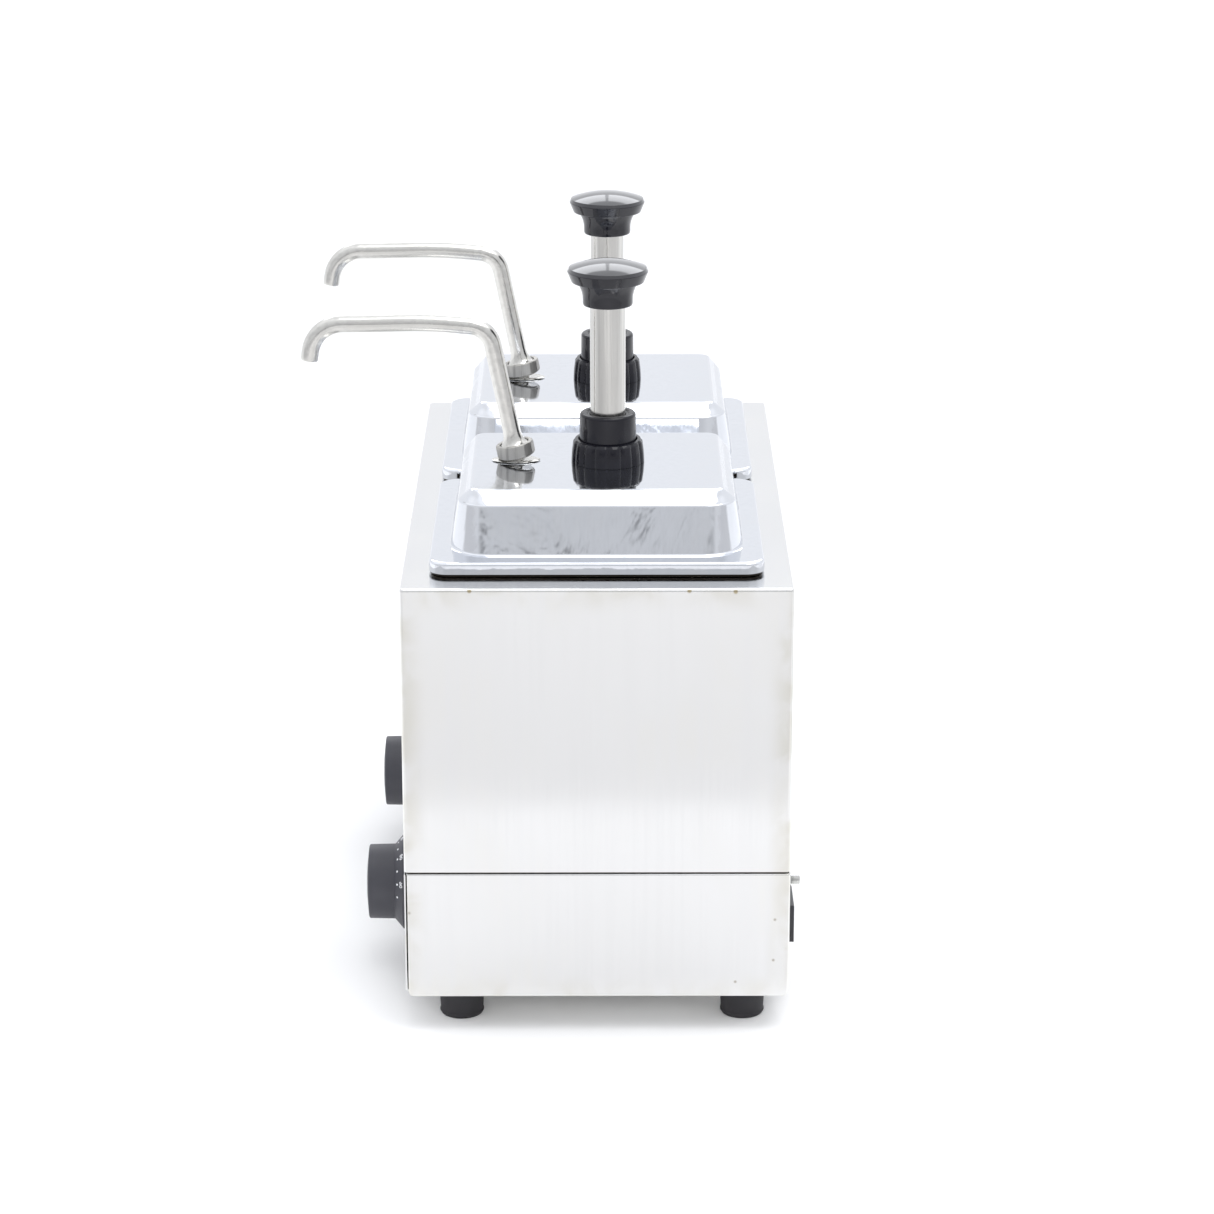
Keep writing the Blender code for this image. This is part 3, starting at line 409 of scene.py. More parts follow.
def pressed(profile, steps=5):
    """A drawn sheet: rounded rectangles down a profile of (half_x, half_y, corner radius, z, fillet).
    Fillets follow the X section. The profile's ends carry no fillet, and are closed."""
    outline = [(half_x, z, *fillet) for half_x, _, _, z, *fillet in profile]
    smooth = iter(filleted(outline, False, steps))
    rings = []
    for half_x, half_y, radius, _, *fillet in profile:
        for _ in range(steps + 1 if fillet else 1):
            x, z = next(smooth)
            rings.append(pressed_ring(x, half_y + x - half_x, radius, z))
    return skin(rings)


def slab(half_x, half_y, radius, low_z, high_z):
    """A plate or hole with rounded corners, about the origin."""
    return skin([pressed_ring(half_x, half_y, radius, z) for z in (low_z, high_z)])


def block(extent, centre=(0, 0, 0)):
    shape = bmesh.new()
    place = Matrix.Translation(centre) @ Matrix.Diagonal((*extent, 1))
    bmesh.ops.create_cube(shape, size=1.0, matrix=place)
    return shape


def directions(path):
    """The path's direction at each of its points."""
    after, before = path[1:] + path[-1:], path[:1] + path[:-1]
    return [(b - a).normalized() for a, b in zip(before, after)]


def angles(count):
    return (2 * pi * k / count for k in range(count))


def hoop(centre, radius, first, second, sides):
    """A circle in the plane of two unit vectors."""
    return [centre + radius * (cos(a) * first + sin(a) * second) for a in angles(sides)]


def hoops(path, radii, side, sides, turns):
    """Circles square to a path that lies in the plane with the normal side."""
    return [hoop(point, radius, side, along.cross(side).normalized(), sides)
            for point, radius, along in zip(path, radii, turns)]


def arc(centre, radius, start, end, steps, plane):
    """Points on an arc, angles in degrees, in the plane of two unit vectors."""
    first, second = plane
    turns = (radians(start + (end - start) * i / steps) for i in range(steps + 1))
    return [centre + radius * (cos(a) * first + sin(a) * second) for a in turns]


def object_from(name, shape, location=(0, 0, 0), turn=(0, 0, 0), closed=True):
    if closed:
        bmesh.ops.recalc_face_normals(shape, faces=shape.faces)
    mesh = bpy.data.meshes.new(name)
    shape.to_mesh(mesh)
    shape.free()
    made = bpy.data.objects.new(name, mesh)
    made.location = location
    made.rotation_euler = turn
    bpy.context.scene.collection.objects.link(made)
    return made


def settled(made):
    """Applies an object's modifiers, and removes the cutters that they used."""
    helpers = [m.object for m in made.modifiers if m.type == "BOOLEAN"]
    bpy.context.view_layer.update()
    evaluated = made.evaluated_get(bpy.context.evaluated_depsgraph_get())
    made.data = bpy.data.meshes.new_from_object(evaluated)
    made.modifiers.clear()
    for used in helpers:
        bpy.data.objects.remove(used)


def combine(made, shape, location=(0, 0, 0), turn=(0, 0, 0), operation="DIFFERENCE"):
    modifier = made.modifiers.new("combine", "BOOLEAN")
    modifier.operation = operation
    modifier.object = object_from("cutter", shape, location, turn)


def drill(made, radius, start, end, place, turn=(0, 0, 0), sides=32):
    """Cuts a round hole about the axis that the turn gives, from start to end."""
    combine(made, turned([(radius, start), (radius, end)], sides), place, turn)


def rounded_edges(made, width, segments=3):
    modifier = made.modifiers.new("edges", "BEVEL")
    modifier.width = width
    modifier.segments = segments
    modifier.limit_method = "ANGLE"
    modifier.angle_limit = radians(35)


def stand_in(made, node, sharp=32, finish=None):
    """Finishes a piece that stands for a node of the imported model: its shading, slot and body."""
    if made.modifiers:
        settled(made)
    mesh = made.data
    mesh.shade_smooth()
    mesh.set_sharp_from_angle(angle=radians(sharp))
    mesh.materials.clear()
    mesh.materials.append(finish or FINISHES[SLOT_OF[node]])
    weighted = made.modifiers.new("flat_faces", "WEIGHTED_NORMAL")
    weighted.keep_sharp = True
    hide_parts(node)
    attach(made, BODY_OF[node])
    return made


def draft(node, shape, location=(0, 0, 0), turn=(0, 0, 0)):
    return object_from(f"{node}_shown", shape, location, turn)


def build(node, shape, location=(0, 0, 0), turn=(0, 0, 0), sharp=32, finish=None):
    return stand_in(draft(node, shape, location, turn), node, sharp, finish)


def on_deck(x=0.0, y=0.0, z=0.0):
    """A point given from the middle of the deck."""
    return Vector((x, BODY.y + y, DECK_Z + z))


# ---------------------------------------------------------------- housing
def upper_housing():
    """The deck and its four walls. The two inner rings run from the deck down, so the mesh is closed
    at the seam and filled, and the pan openings in it are pockets 4 mm deep. As one folded sheet,
    open underneath, it would have the inner rings from the seam up."""
    r, plan, steps = EDGE_RADIUS, 0.0022, 6
    x, y = HALF_X, HALF_Y
    rings = [pressed_ring(x, y, plan, SEAM_Z, 8), pressed_ring(x, y, plan, SEAM_Z + 0.002, 8)]
    for step in range(steps + 1):
        a = pi / 2 * step / steps
        inset = r * (1 - cos(a))
        rings.append(pressed_ring(x - inset, y - inset, plan - inset, -r + r * sin(a), 8))
    inner = [pressed_ring(x - SHEET, y - SHEET, plan - SHEET, z, 8) for z in (-SHEET, SEAM_Z)]
    made = draft("upper_housing", skin(rings[::-1] + inner))
    made.location = on_deck()
    for x in PAN_X.values():
        combine(made, slab(*OPENING, 0.016, -0.004, 0.004), on_deck(x))
    stand_in(made, "upper_housing")


def base_shell():
    """The lower body: front, floor and rear folded from one sheet with round bends, upright end walls
    with crisp edges, and a lip inside the upper housing."""
    top, bottom = SEAM_Z - SEAM_GAP, FLOOR_Z
    lip, lip_top = SHEET + GAP, top_z("base_shell")
    step_back, bend, fold, plan = 0.0011, 0.0035, 0.001, 0.0016

    def ring(inset, z, radius=plan, front=step_back, end=None):
        """The walls' plan. The end walls may be inset otherwise than the front and rear."""
        half_x = HALF_X - (inset if end is None else end)
        points = pressed_ring(half_x, HALF_Y - inset, radius, z, 8)
        return [p + Vector((0, front if p.y < 0 else 0, 0)) for p in points]

    def turn_under(thick, radius, end_radius):
        """From the walls to the floor, round the bends. The end walls turn in a smaller radius."""
        rings = []
        for step in range(9):
            a = pi / 2 * step / 8
            z = bottom + thick + radius * (1 - sin(a))
            up = min(radius * (1 - sin(a)), end_radius)
            end = thick + end_radius - (end_radius ** 2 - (end_radius - up) ** 2) ** 0.5
            rings.append(ring(thick + radius * (1 - cos(a)), z, plan - 0.001 * step / 8, end=end))
        return rings

    joggle = step_back - lip + GAP
    outer = [ring(lip, lip_top, front=0), ring(lip, top - 0.0002, front=joggle)]
    for step in range(1, 6):
        a = pi / 2 * step / 5
        inset = fold * (1 - sin(a))
        outer.append(ring(inset, top - fold * (1 - cos(a)), plan - inset))
    flange = [pressed_ring(0.145, 0.0585, 0.006, z, 8) for z in (bottom, bottom + SHEET)]
    inner = turn_under(SHEET, bend - SHEET, 0.0004)[::-1]
    inner += [ring(SHEET, top - 0.0024), ring(lip + SHEET, top - 0.0024, front=joggle),
              ring(lip + SHEET, lip_top, front=0)]
    outer += turn_under(0.0, bend, 0.0008)
    made = draft("base_shell", skin(outer + flange + inner, looped=True), on_deck())
    for side in SIDES:
        drill(made, SHAFT_HOLE, -0.006, 0.006, dial_place(side), FORWARD)
    for name in feet():
        place = middle(name)
        place.z = DECK_Z + bottom
        drill(made, FOOT_HOLE, -0.004, 0.004, place, sides=24)
    inlet = middle("power_inlet")
    combine(made, block((0.027, 0.012, 0.02)), (inlet.x, REAR_Y, inlet.z))
    stud = middle("earth_stud")
    drill(made, STUD_HOLE, -0.006, 0.006, (stud.x, REAR_Y, stud.z), FORWARD, 24)
    # This finish paints the lip inside the seam near black, as painted shade.
    stand_in(made, "base_shell", finish=SEAM_SHADE_SHEET)


def dial_place(side):
    knob = middle(f"heat_knob_{side}")
    return Vector((knob.x, FRONT_Y, knob.z))


def front_panel():
    extent, place = size("front_panel"), middle("front_panel")
    made = draft("front_panel", block(extent), place)
    rounded_edges(made, 0.00025)
    for side in SIDES:
        drill(made, SHAFT_HOLE, -0.004, 0.004, dial_place(side), FORWARD)
    stand_in(made, "front_panel")


def bottom_plate():
    """The vented access plate, with two rows of slots."""
    place = middle("bottom_plate")
    extent = size("bottom_plate")
    half_x, half_y, half_z = extent / 2
    made = draft("bottom_plate", slab(half_x, half_y, 0.007, -half_z, half_z), place)
    for row in (-1, 1):
        for column in range(-2, 3):
            slot = slab(0.014, 0.0025, 0.0024, -0.003, 0.003)
            combine(made, slot, (column * 0.05, BODY.y + row * 0.028, place.z))
    stand_in(made, "bottom_plate")


def feet():
    return [f"foot_{row}_{side}" for row in ("front", "rear") for side in SIDES]


def foot_pieces():
    """Moulded feet with a thin flash lip round the sole, and the screws inside them."""
    for name in feet():
        place, top = middle(name), high(name).z
        r = size(name).x / 2
        foot = [
            (0.0027, top), (r, top, 0.0005), (r - 0.001, 0.0026, 0.0003), (r - 0.0006, 0.0021, 0.0002),
            (r - 0.0006, 0.0014, 0.0002), (r - 0.0011, 0.0011, 0.0002), (r - 0.0014, 0, 0.0004),
            (0.0056, 0, 0.0006), (0.0056, 0.01, 0.0004), (0.0027, 0.01),
        ]
        build(name, turned(foot, bored=True), (place.x, place.y, 0))
        screw = name.replace("foot_", "foot_screw_")
        bottom, tip = low(screw).z, high(screw).z
        outline = [
            (0, bottom), (0.0035, bottom, 0.0008), (0.0048, bottom + 0.0015, 0.0005),
            (0.0048, bottom + 0.0037, 0.0003), (0.0023, bottom + 0.0037),
            *thread(0.0023, bottom + 0.006, tip), (0, tip),
        ]
        made = draft(screw, turned(outline, 40), (place.x, place.y, 0))
        for turn in (0, pi / 2):
            combine(made, block((0.0046, 0.0009, 0.003)), (place.x, place.y, bottom), (0, 0, turn))
        stand_in(made, screw)


def thread(radius, start, end, pitch=0.0008):
    """A screw thread's crests and roots, as rings of a turned outline."""
    turns = max(1, int((end - start) / pitch))
    points = []
    for i in range(turns):
        z = start + (end - start) * i / turns
        points += [(radius, z), (radius - 0.35 * pitch, z + 0.5 * pitch)]
    return points + [(radius, end)]


# ---------------------------------------------------------------- heating
def water_well(side):
    node = f"water_well_{side}"
    wall, top = 0.0008, -SHEET - GAP
    x, y, r = OPENING.x + 0.001, OPENING.y + 0.001, 0.017
    base = -WELL_DEPTH
    profile = [
        (x - 0.0025, y - 0.0025, r, base, 0.0065), (x + wall, y + wall, r, top - wall, 0.0003),
        (x + 0.007, y + 0.007, r, top - wall), (x + 0.007, y + 0.007, r, top),
        (x, y, r, top, 0.0006), (x - 0.0033, y - 0.0033, r, base + wall, 0.006),
    ]
    floor_out = (x - 0.03, y - 0.03, 0.006, base)
    floor_in = (x - 0.03, y - 0.03, 0.006, base + wall)
    build(node, pressed([floor_out, *profile, floor_in]), on_deck(PAN_X[side]))


def heating_element(side):
    sheath, bend = 0.004, 0.025
    z = -WELL_DEPTH - sheath - GAP
    path = [Vector((bend, -0.055, z)), Vector((bend, -0.01, z))]
    path += arc(Vector((0, 0.03, z)), bend, 0, 180, 24, (X_AXIS, Y_AXIS))
    path += [Vector((-bend, -0.01, z)), Vector((-bend, -0.055, z))]
    rings = hoops(path, [sheath] * len(path), Z_AXIS, 24, directions(path))
    build(f"heating_element_{side}", skin(rings), on_deck(PAN_X[side]))


def thermostat(side):
    """The switch body and its threaded bush, and its round shaft."""
    wall, half = 0.0027 + GAP, 0.015
    back = wall + 0.024
    body = slab(half, half, 0.003, -back, -wall)
    made = draft(f"thermostat_{side}", body, dial_place(side), FORWARD)
    bush = [(0, -wall - 0.002), (0.005, -wall - 0.002), *thread(0.005, -wall, 0.0024), (0, 0.0024)]
    combine(made, turned(bush, 40), dial_place(side), FORWARD, "UNION")
    drill(made, 0.0035, -0.0177, 0.01, dial_place(side), FORWARD, 40)
    stand_in(made, f"thermostat_{side}")
    shaft = [(0, -0.017), (0.0029, -0.017, 0.0004), (0.0029, 0.015, 0.0004), (0, 0.015)]
    build(f"thermostat_shaft_{side}", turned(shaft, 40), dial_place(side), FORWARD)


MARK_STEP = 17.8  # degrees between the dial's dots
MARK_COUNT = 15
LAST_MARK = -0.95  # degrees above the horizontal, on the side towards +X
FIRST_NUMBER, NUMBER_STEP = 30, 10
DOT_RADIUS, DOT_DOWN = 0.0006, 0.0027  # a dot's size, and how far down the skirt it is
TEXT_SIZE, TEXT_DOWN = 0.0036, 0.0073  # the type's size, and how far down its foot is


def heat_knob(side):
    """A plain round grip with a slightly domed face on a coned skirt, and its printed scale."""
    node = f"heat_knob_{side}"
    front = dial_place(side).y - low(node).y
    skirt, grip = size(node).x / 2, 0.0207
    foot, rise = 0.0054, 0.0098
    outline = [
        (0, front), (grip * 0.55, front - 0.0003), (grip - 0.0001, front - 0.0013, 0.0008),
        (grip + 0.0002, rise + 0.0002, 0.0003), (grip + 0.0006, rise, 0.0002), (skirt, foot, 0.0004),
        (skirt, 0.0012, 0.0003), (0.025, 0.0012), (0.025, 0.0042), (0.018, 0.0105),
        (0.006, 0.0105), (0.006, 0.004), (0.0032, 0.004), (0.0032, 0.0155), (0, 0.0155),
    ]
    build(node, turned(outline, FINE), dial_place(side), FORWARD, 40)
    top = Vector((grip + 0.0006, rise))
    slope = Vector((skirt, foot)) - top
    marks = bmesh.new()

    def on_cone(angle, sideways, down):
        """A point just over the skirt: down is the distance along its slope, from its top."""
        radius, z = top + slope.normalized() * down
        a = angle + sideways / radius
        lift = 0.00006 * Vector((-slope.y, slope.x)).normalized()
        return Vector(((radius - lift.x) * cos(a), (radius - lift.x) * sin(a), z + abs(lift.y)))

    for i in range(MARK_COUNT):
        angle = radians(LAST_MARK + MARK_STEP * i)
        dot = [on_cone(angle, DOT_RADIUS * cos(t), DOT_DOWN + DOT_RADIUS * sin(t)) for t in angles(16)]
        marks.faces.new([marks.verts.new(p) for p in dot])
    for i in range(MARK_COUNT // 2):
        angle = radians(LAST_MARK + MARK_STEP * (2 * i + 1))
        number = FIRST_NUMBER + NUMBER_STEP * (MARK_COUNT // 2 - 1 - i)
        add_number(marks, str(number), lambda u, v, a=angle: on_cone(a, u, v))
    bmesh.ops.triangulate(marks, faces=marks.faces)
    scale = object_from(f"dial_scale_{side}", marks, dial_place(side), FORWARD, closed=False)
    scale.data.materials.append(MARK_PAINT)
    thick = scale.modifiers.new("print", "SOLIDIFY")
    thick.thickness = 0.00008
    settled(scale)
    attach(scale, BODY_OF[f"heat_knob_{side}"])


def add_number(marks, text, place):
    """Adds a number's filled outline, 2.6 mm tall, laid through place(sideways, down)."""
    curve = bpy.data.curves.new("number", "FONT")
    curve.body, curve.size, curve.align_x = text, TEXT_SIZE, "CENTER"
    holder = bpy.data.objects.new("number", curve)
    bpy.context.scene.collection.objects.link(holder)
    bpy.context.view_layer.update()
    graph = bpy.context.evaluated_depsgraph_get()
    flat = bpy.data.meshes.new_from_object(holder.evaluated_get(graph))
    made = [marks.verts.new(place(-v.co.x, TEXT_DOWN - v.co.y)) for v in flat.vertices]
    for face in flat.polygons:
        marks.faces.new([made[i] for i in face.vertices])
    bpy.data.objects.remove(holder)


def power_inlet():
    """The appliance inlet: a rim chamfered along its top, an inner box, a socket and three pins.
    Its own Z points out of the wall and its own Y points down."""
    half_x, half_z, proud, slope, brow = 0.015, 0.0106, 0.0036, 0.0005, 0.0006
    place = Vector((middle("power_inlet").x, REAR_Y, middle("power_inlet").z))
    section = [(-half_z, GAP), (half_z, GAP), (half_z, proud), (-half_z + brow, proud),
               (-half_z, proud - slope)]
    shape = skin([[Vector((x, y, z)) for y, z in section] for x in (-half_x, half_x)])
    made = draft("power_inlet", shape, place, REARWARD)
    combine(made, block((0.026, 0.019, 0.02), (0, 0, -0.0095)), place, REARWARD, "UNION")
    combine(made, block((0.022, 0.014, 0.03), (0, 0.001, 0)), place, REARWARD)
    rounded_edges(made, 0.0004)
    settled(made)
    for x, y in ((-0.007, 0.005), (0, 0.001), (0.007, 0.005)):
        combine(made, block((0.002, 0.004, 0.018), (x, y, -0.009)), place, REARWARD, "UNION")
    stand_in(made, "power_inlet")


def earth_terminal():
    """The threaded earth stud and its hexagon nut. Their own Z points out of the wall."""
    stud_middle = middle("earth_stud")
    place = Vector((stud_middle.x, REAR_Y, stud_middle.z))
    tip = high("earth_stud").y - REAR_Y
    stud = [(0, -0.006), (0.0045, -0.006, 0.0004), (0.0045, -SHEET - 2 * GAP, 0.0002),
            (0.0025, -SHEET - 2 * GAP), *thread(0.0025, 0.0005, tip - 0.0008), (0.0019, tip), (0, tip)]
    build("earth_stud", turned(stud, 48), place, REARWARD)
    nut = skin([circle(0.0046, z, HEX) for z in (GAP, 0.004)])
    made = draft("earth_nut", nut, place, REARWARD)
    drill(made, 0.0029, -0.002, 0.006, place, REARWARD, 48)
    rounded_edges(made, 0.0003, 2)
    stand_in(made, "earth_nut")


def terminal_block():
    """A three-way terminal block: bevelled body, screw wells and the cuts between them."""
    extent, place, pitch = size("terminal_block"), middle("terminal_block"), 0.014
    made = draft("terminal_block", block(extent), place)
    rounded_edges(made, 0.0012)
    settled(made)
    for i in range(3):
        drill(made, 0.0025, -0.004, 0.004, place + Vector(((i - 1) * pitch, 0, extent.z / 2)))
        if i < 2:
            gap = place + Vector(((i - 0.5) * pitch, 0, extent.z / 2))
            combine(made, block((0.0012, 0.03, 0.006)), gap)
    stand_in(made, "terminal_block")


# ---------------------------------------------------------------- pans and lids
def food_pan(side):
    node = f"food_pan_{side}"
    x, y, r = OPENING.x - 0.003, OPENING.y - 0.003, PAN_CORNER
    taper, wall = 0.006, 0.001
    rim_x, rim_y = size(node).x / 2, size(node).y / 2
    rim_top, deep = top_z(node), -PAN_DEPTH
    rim_low = rim_top - 0.0013
    profile = [
        (x - 0.04, y - 0.04, 0.006, deep),
        (x - taper, y - taper, r, deep, 0.006),
        (x, y, r, rim_low, 0.0015),
        (rim_x, rim_y, LID_CORNER, rim_low, 0.0003),
        (rim_x, rim_y, LID_CORNER, rim_top, 0.0004),
        (x - wall, y - wall, r, rim_top, 0.002),
        (x - taper - wall, y - taper - wall, r, deep + wall, 0.0055),
        (x - 0.04, y - 0.04, 0.006, deep + wall),
    ]
    build(node, pressed(profile), on_deck(PAN_X[side]), finish=PAN_SHEET)


def lid(side):
    """The pressed lid: a skirted flange, drafted walls, a broad chamfer and a flat top."""
    node = f"lid_{side}"
    x, y, t = LID_HALF_X, LID_HALF_Y, SHEET
    top, flange = LID_TOP_Z, FLANGE_Z
    chamfer = 0.0072
    # How far in from the flange's edge along X and Y, corner radius, height and fillet.
    section = [
        (0.06, 0.058, 0.004, top),
        (0.0242, 0.022, 0.005, top, 0.0028),
        (0.017, 0.0148, 0.0165, top - chamfer, 0.0022),
        (0.0126, 0.0106, 0.0215, flange, 0.0014),
        (0, 0, LID_CORNER, flange, 0.0018),
        (0, 0, LID_CORNER, SKIRT_Z),
        (t, t, LID_CORNER - t, SKIRT_Z),
        (t, t, LID_CORNER - t, flange - t, 0.0009),
        (0.0136, 0.0116, 0.021, flange - t, 0.002),
        (0.0182, 0.016, 0.0155, top - chamfer - 0.0005, 0.0016),
        (0.0246, 0.0224, 0.0048, top - t, 0.002),
        (0.06, 0.058, 0.004, top - t),
    ]
    profile = [(x - in_x, y - in_y, *rest) for in_x, in_y, *rest in section]
    made = draft(node, pressed(profile), on_deck(PAN_X[side]))
    drill(made, NECK_RADIUS + 0.0004, 0.03, 0.05, pump_place(side), sides=ROUND)
    drill(made, 0.0068, 0.03, 0.05, on_deck(PAN_X[side], PUMP_Y + SPOUT_Y), sides=48)
    stand_in(made, node, 25)


# ---------------------------------------------------------------- pumps
def pump_place(side):
    return on_deck(PAN_X[side], PUMP_Y)


def on_pump(name, side, shape, **look):
    """Builds a piece whose shape is given from the deck's height on the pump's axis."""
    return build(f"{name}_{side}", shape, pump_place(side), **look)


def pump_knob(side):
    """The palm knob: domed top, sharp rim, rolled-under band, a step and a waisted neck."""
    node = f"pump_knob_{side}"
    r, bottom, top = size(node).x / 2, bottom_z(node), top_z(node)
    widest = top - 0.0056
    edge = r - 0.0009
    crown = 0.0037
    sphere = (edge ** 2 + crown ** 2) / (2 * crown)
    reach = [edge * i / 12 for i in range(12)]
    dome = [(x, top - sphere + (sphere ** 2 - x ** 2) ** 0.5) for x in reach]
    outline = dome + [
        (edge, top - crown, 0.0003), (r, widest + 0.0002, 0.0002), (r, widest - 0.0002, 0.0002),
        (r - 0.0022, widest - 0.0056, 0.0004), (0.0161, widest - 0.0062),
        (0.0158, widest - 0.0067, 0.0002), (0.0151, bottom + 0.0101), (0.0142, bottom + 0.008),
        (0.0136, bottom + 0.0057), (0.0134, bottom + 0.0036), (0.0134, bottom + 0.0014),
        (0.0131, bottom, 0.0004), (ROD_RADIUS + GAP, bottom), (ROD_RADIUS + GAP, bottom + 0.006),
        (0, bottom + 0.006),
    ]
    made = on_pump("pump_knob", side, turned(outline, FINE, steps=8), sharp=28, finish=KNOB_GLOSS)
    # Faces below the widest ring take the darker copy: painted shade on the underside band.
    made.data.materials.append(SHADED_BAND_GLOSS)
    for face in made.data.polygons:
        face.material_index = int(face.center.z < widest)


def plunger(side):
    """The plunger tube, its piston and the piston's seal."""
    node = f"plunger_tube_{side}"
    foot, seat, wall = bottom_z(node), top_z(node), 0.0012
    r = size(node).x / 2
    tube = [(r - wall, foot), (r, foot, 0.0003), (r, seat, 0.0003), (r - wall, seat)]
    on_pump("plunger_tube", side, turned(tube, FINE, True), finish=ROD_STEEL)
    land, groove = BORE_RADIUS - 0.0005, 0.0104
    piston = [
        (0, -0.01), (0.008, -0.01, 0.0008), (0.008, foot - GAP), (land, foot - GAP, 0.0004),
        (land, -0.024), (groove, -0.024), (groove, -0.029), (land, -0.029),
        (land, -0.034, 0.0005), (0, -0.034),
    ]
    on_pump("piston", side, turned(piston))
    lip = BORE_RADIUS - 0.0002
    seal = [(groove + GAP, -0.0243), (lip, -0.0243, 0.0015), (lip, -0.0287, 0.0015),
            (groove + GAP, -0.0287)]
    on_pump("piston_seal", side, turned(seal, bored=True))


def return_spring(side):
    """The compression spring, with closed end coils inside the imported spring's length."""
    node = f"return_spring_{side}"
    wire, coil, turns, per_turn = 0.0009, 0.0106, 7.5, 28
    bottom, top = bottom_z(node) + wire, top_z(node) - wire
    steps, dead, closed = int(turns * per_turn), 1 / turns, 0.8
    rise = wire * 1.9  # how much each closed end coil climbs
    span = top - bottom - 2 * rise
    rings = []
    path = []
    for step in range(steps + 1):
        a, share = 2 * pi * step / per_turn, step / steps
        eased = min(max((share - dead * closed) / (1 - dead * 2 * closed), 0), 1)
        ends = min(share / dead, closed) - min((1 - share) / dead, closed) + closed
        height = bottom + rise * ends / closed + span * eased
        path.append(Vector((coil * cos(a), coil * sin(a), height)))
    for point, along in zip(path, directions(path)):
        out = Vector((point.x, point.y, 0)).normalized()
        rings.append(hoop(point, wire, out, along.cross(out).normalized(), 12))
    on_pump("return_spring", side, skin(rings))


def pump_cylinder(side):
    """The barrel with its threaded neck and flange, the gasket and the foot valve with its ball."""
    node = f"pump_cylinder_{side}"
    lid_under = LID_TOP_Z - SHEET
    ledge, neck_top = lid_under - 0.0023, top_z(node)
    barrel = [
        (BORE_RADIUS, neck_top), *reversed(thread(NECK_RADIUS, LID_TOP_Z + 0.001, neck_top)),
        (NECK_RADIUS, ledge, 0.0003), (0.02, ledge, 0.0004), (0.02, ledge - 0.0025, 0.0006),
        (CYLINDER_RADIUS, ledge - 0.0025, 0.0006), (CYLINDER_RADIUS, CYLINDER_END_Z, 0.0008),
        (0.0035, CYLINDER_END_Z), (0.0035, CYLINDER_FLOOR_Z),
        (BORE_RADIUS, CYLINDER_FLOOR_Z, 0.0006),
    ]
    made = draft(node, turned(barrel, bored=True), pump_place(side))
    drill(made, 0.003, 0.01, 0.02, pump_place(side) + PORT_Z * Z_AXIS, FORWARD)
    stand_in(made, node)
    gasket = [(NECK_RADIUS + GAP, ledge + GAP), (0.0195, ledge + GAP, 0.0004),
              (0.0195, lid_under - GAP, 0.0004), (NECK_RADIUS + GAP, lid_under - GAP)]
    on_pump("lid_gasket", side, turned(gasket, bored=True))
    top, bottom = CYLINDER_END_Z - GAP, bottom_z(f"intake_valve_{side}")
    valve = [
        (0.0064, top), (0.013, top, 0.0003), (0.013, top - 0.0027, 0.0003),
        (0.01, top - 0.0027, 0.0004), (0.01, bottom + 0.0015, 0.0006), (0.009, bottom, 0.0004),
        (0.0032, bottom, 0.0003), (0.0032, bottom + 0.009), (0.0064, bottom + 0.0125),
    ]
    on_pump("intake_valve", side, turned(valve, bored=True))
    ball = size(f"intake_ball_{side}").z / 2
    rings = [(ball * sin(pi * i / 20), -ball * cos(pi * i / 20)) for i in range(21)]
    build(f"intake_ball_{side}", turned(rings, 40), middle(f"intake_ball_{side}"))


def guide_cap(side):
    """The plunger's guide collar, with a moulded rim and a dished mouth round the rod."""
    bore, r, top = ROD_RADIUS + 0.0004, 0.01525, top_z(f"guide_cap_{side}")
    outline = [
        (bore, 0.034), (0.0127, 0.034), (0.0127, 0.0483), (0.0166, 0.0483), (0.0166, 0.0502),
        (r + 0.0001, 0.0502, 0.0003), (r - 0.0001, top, 0.0018), (0.0116, top, 0.0006),
        (0.0108, top - 0.0009, 0.0004), (bore, top - 0.0012),
    ]
    on_pump("guide_cap", side, turned(outline, FINE, True), sharp=38)


def locking_nut(side, ribs=16, per_rib=8):
    """The ribbed nut: broad lands between narrow grooves, under a chamfered rim."""
    node = f"locking_nut_{side}"
    bottom, top, r = bottom_z(node) - 0.0002, top_z(node), size(node).x / 2
    depth = 0.0009
    groove = (1.0, 0.45, 0.08, 0.02, 0.0, 0.02, 0.08, 0.45)  # how deep it is across one rib

    def ring(radius, z, cut):
        points = circle(radius, z, ribs * per_rib)
        return [p - cut * groove[i % per_rib] * Vector((p.x, p.y, 0)).normalized()
                for i, p in enumerate(points)]

    sections = [
        (NECK_RADIUS + GAP, bottom, 0), (r - 0.0012, bottom, 0), (r - 0.0001, bottom, 1),
        (r, bottom + 0.0003, 1), (r - 0.0003, bottom + 0.0052, 1), (r - 0.001, top - 0.0019, 1),
        (r - 0.0013, top - 0.0014, 0.95), (r - 0.0022, top - 0.0004, 0.6), (0.0176, top - 0.0001, 0.1),
        (0.017, top, 0), (0.016, top, 0), (0.0158, top - 0.0004, 0), (0.0158, 0.0506, 0),
        (0.017, 0.0506, 0), (0.017, 0.0481, 0), (NECK_RADIUS + GAP, 0.0481, 0),
    ]
    rings = [ring(radius, z, depth * share) for radius, z, share in sections]
    on_pump("locking_nut", side, skin(rings, looped=True), sharp=40)


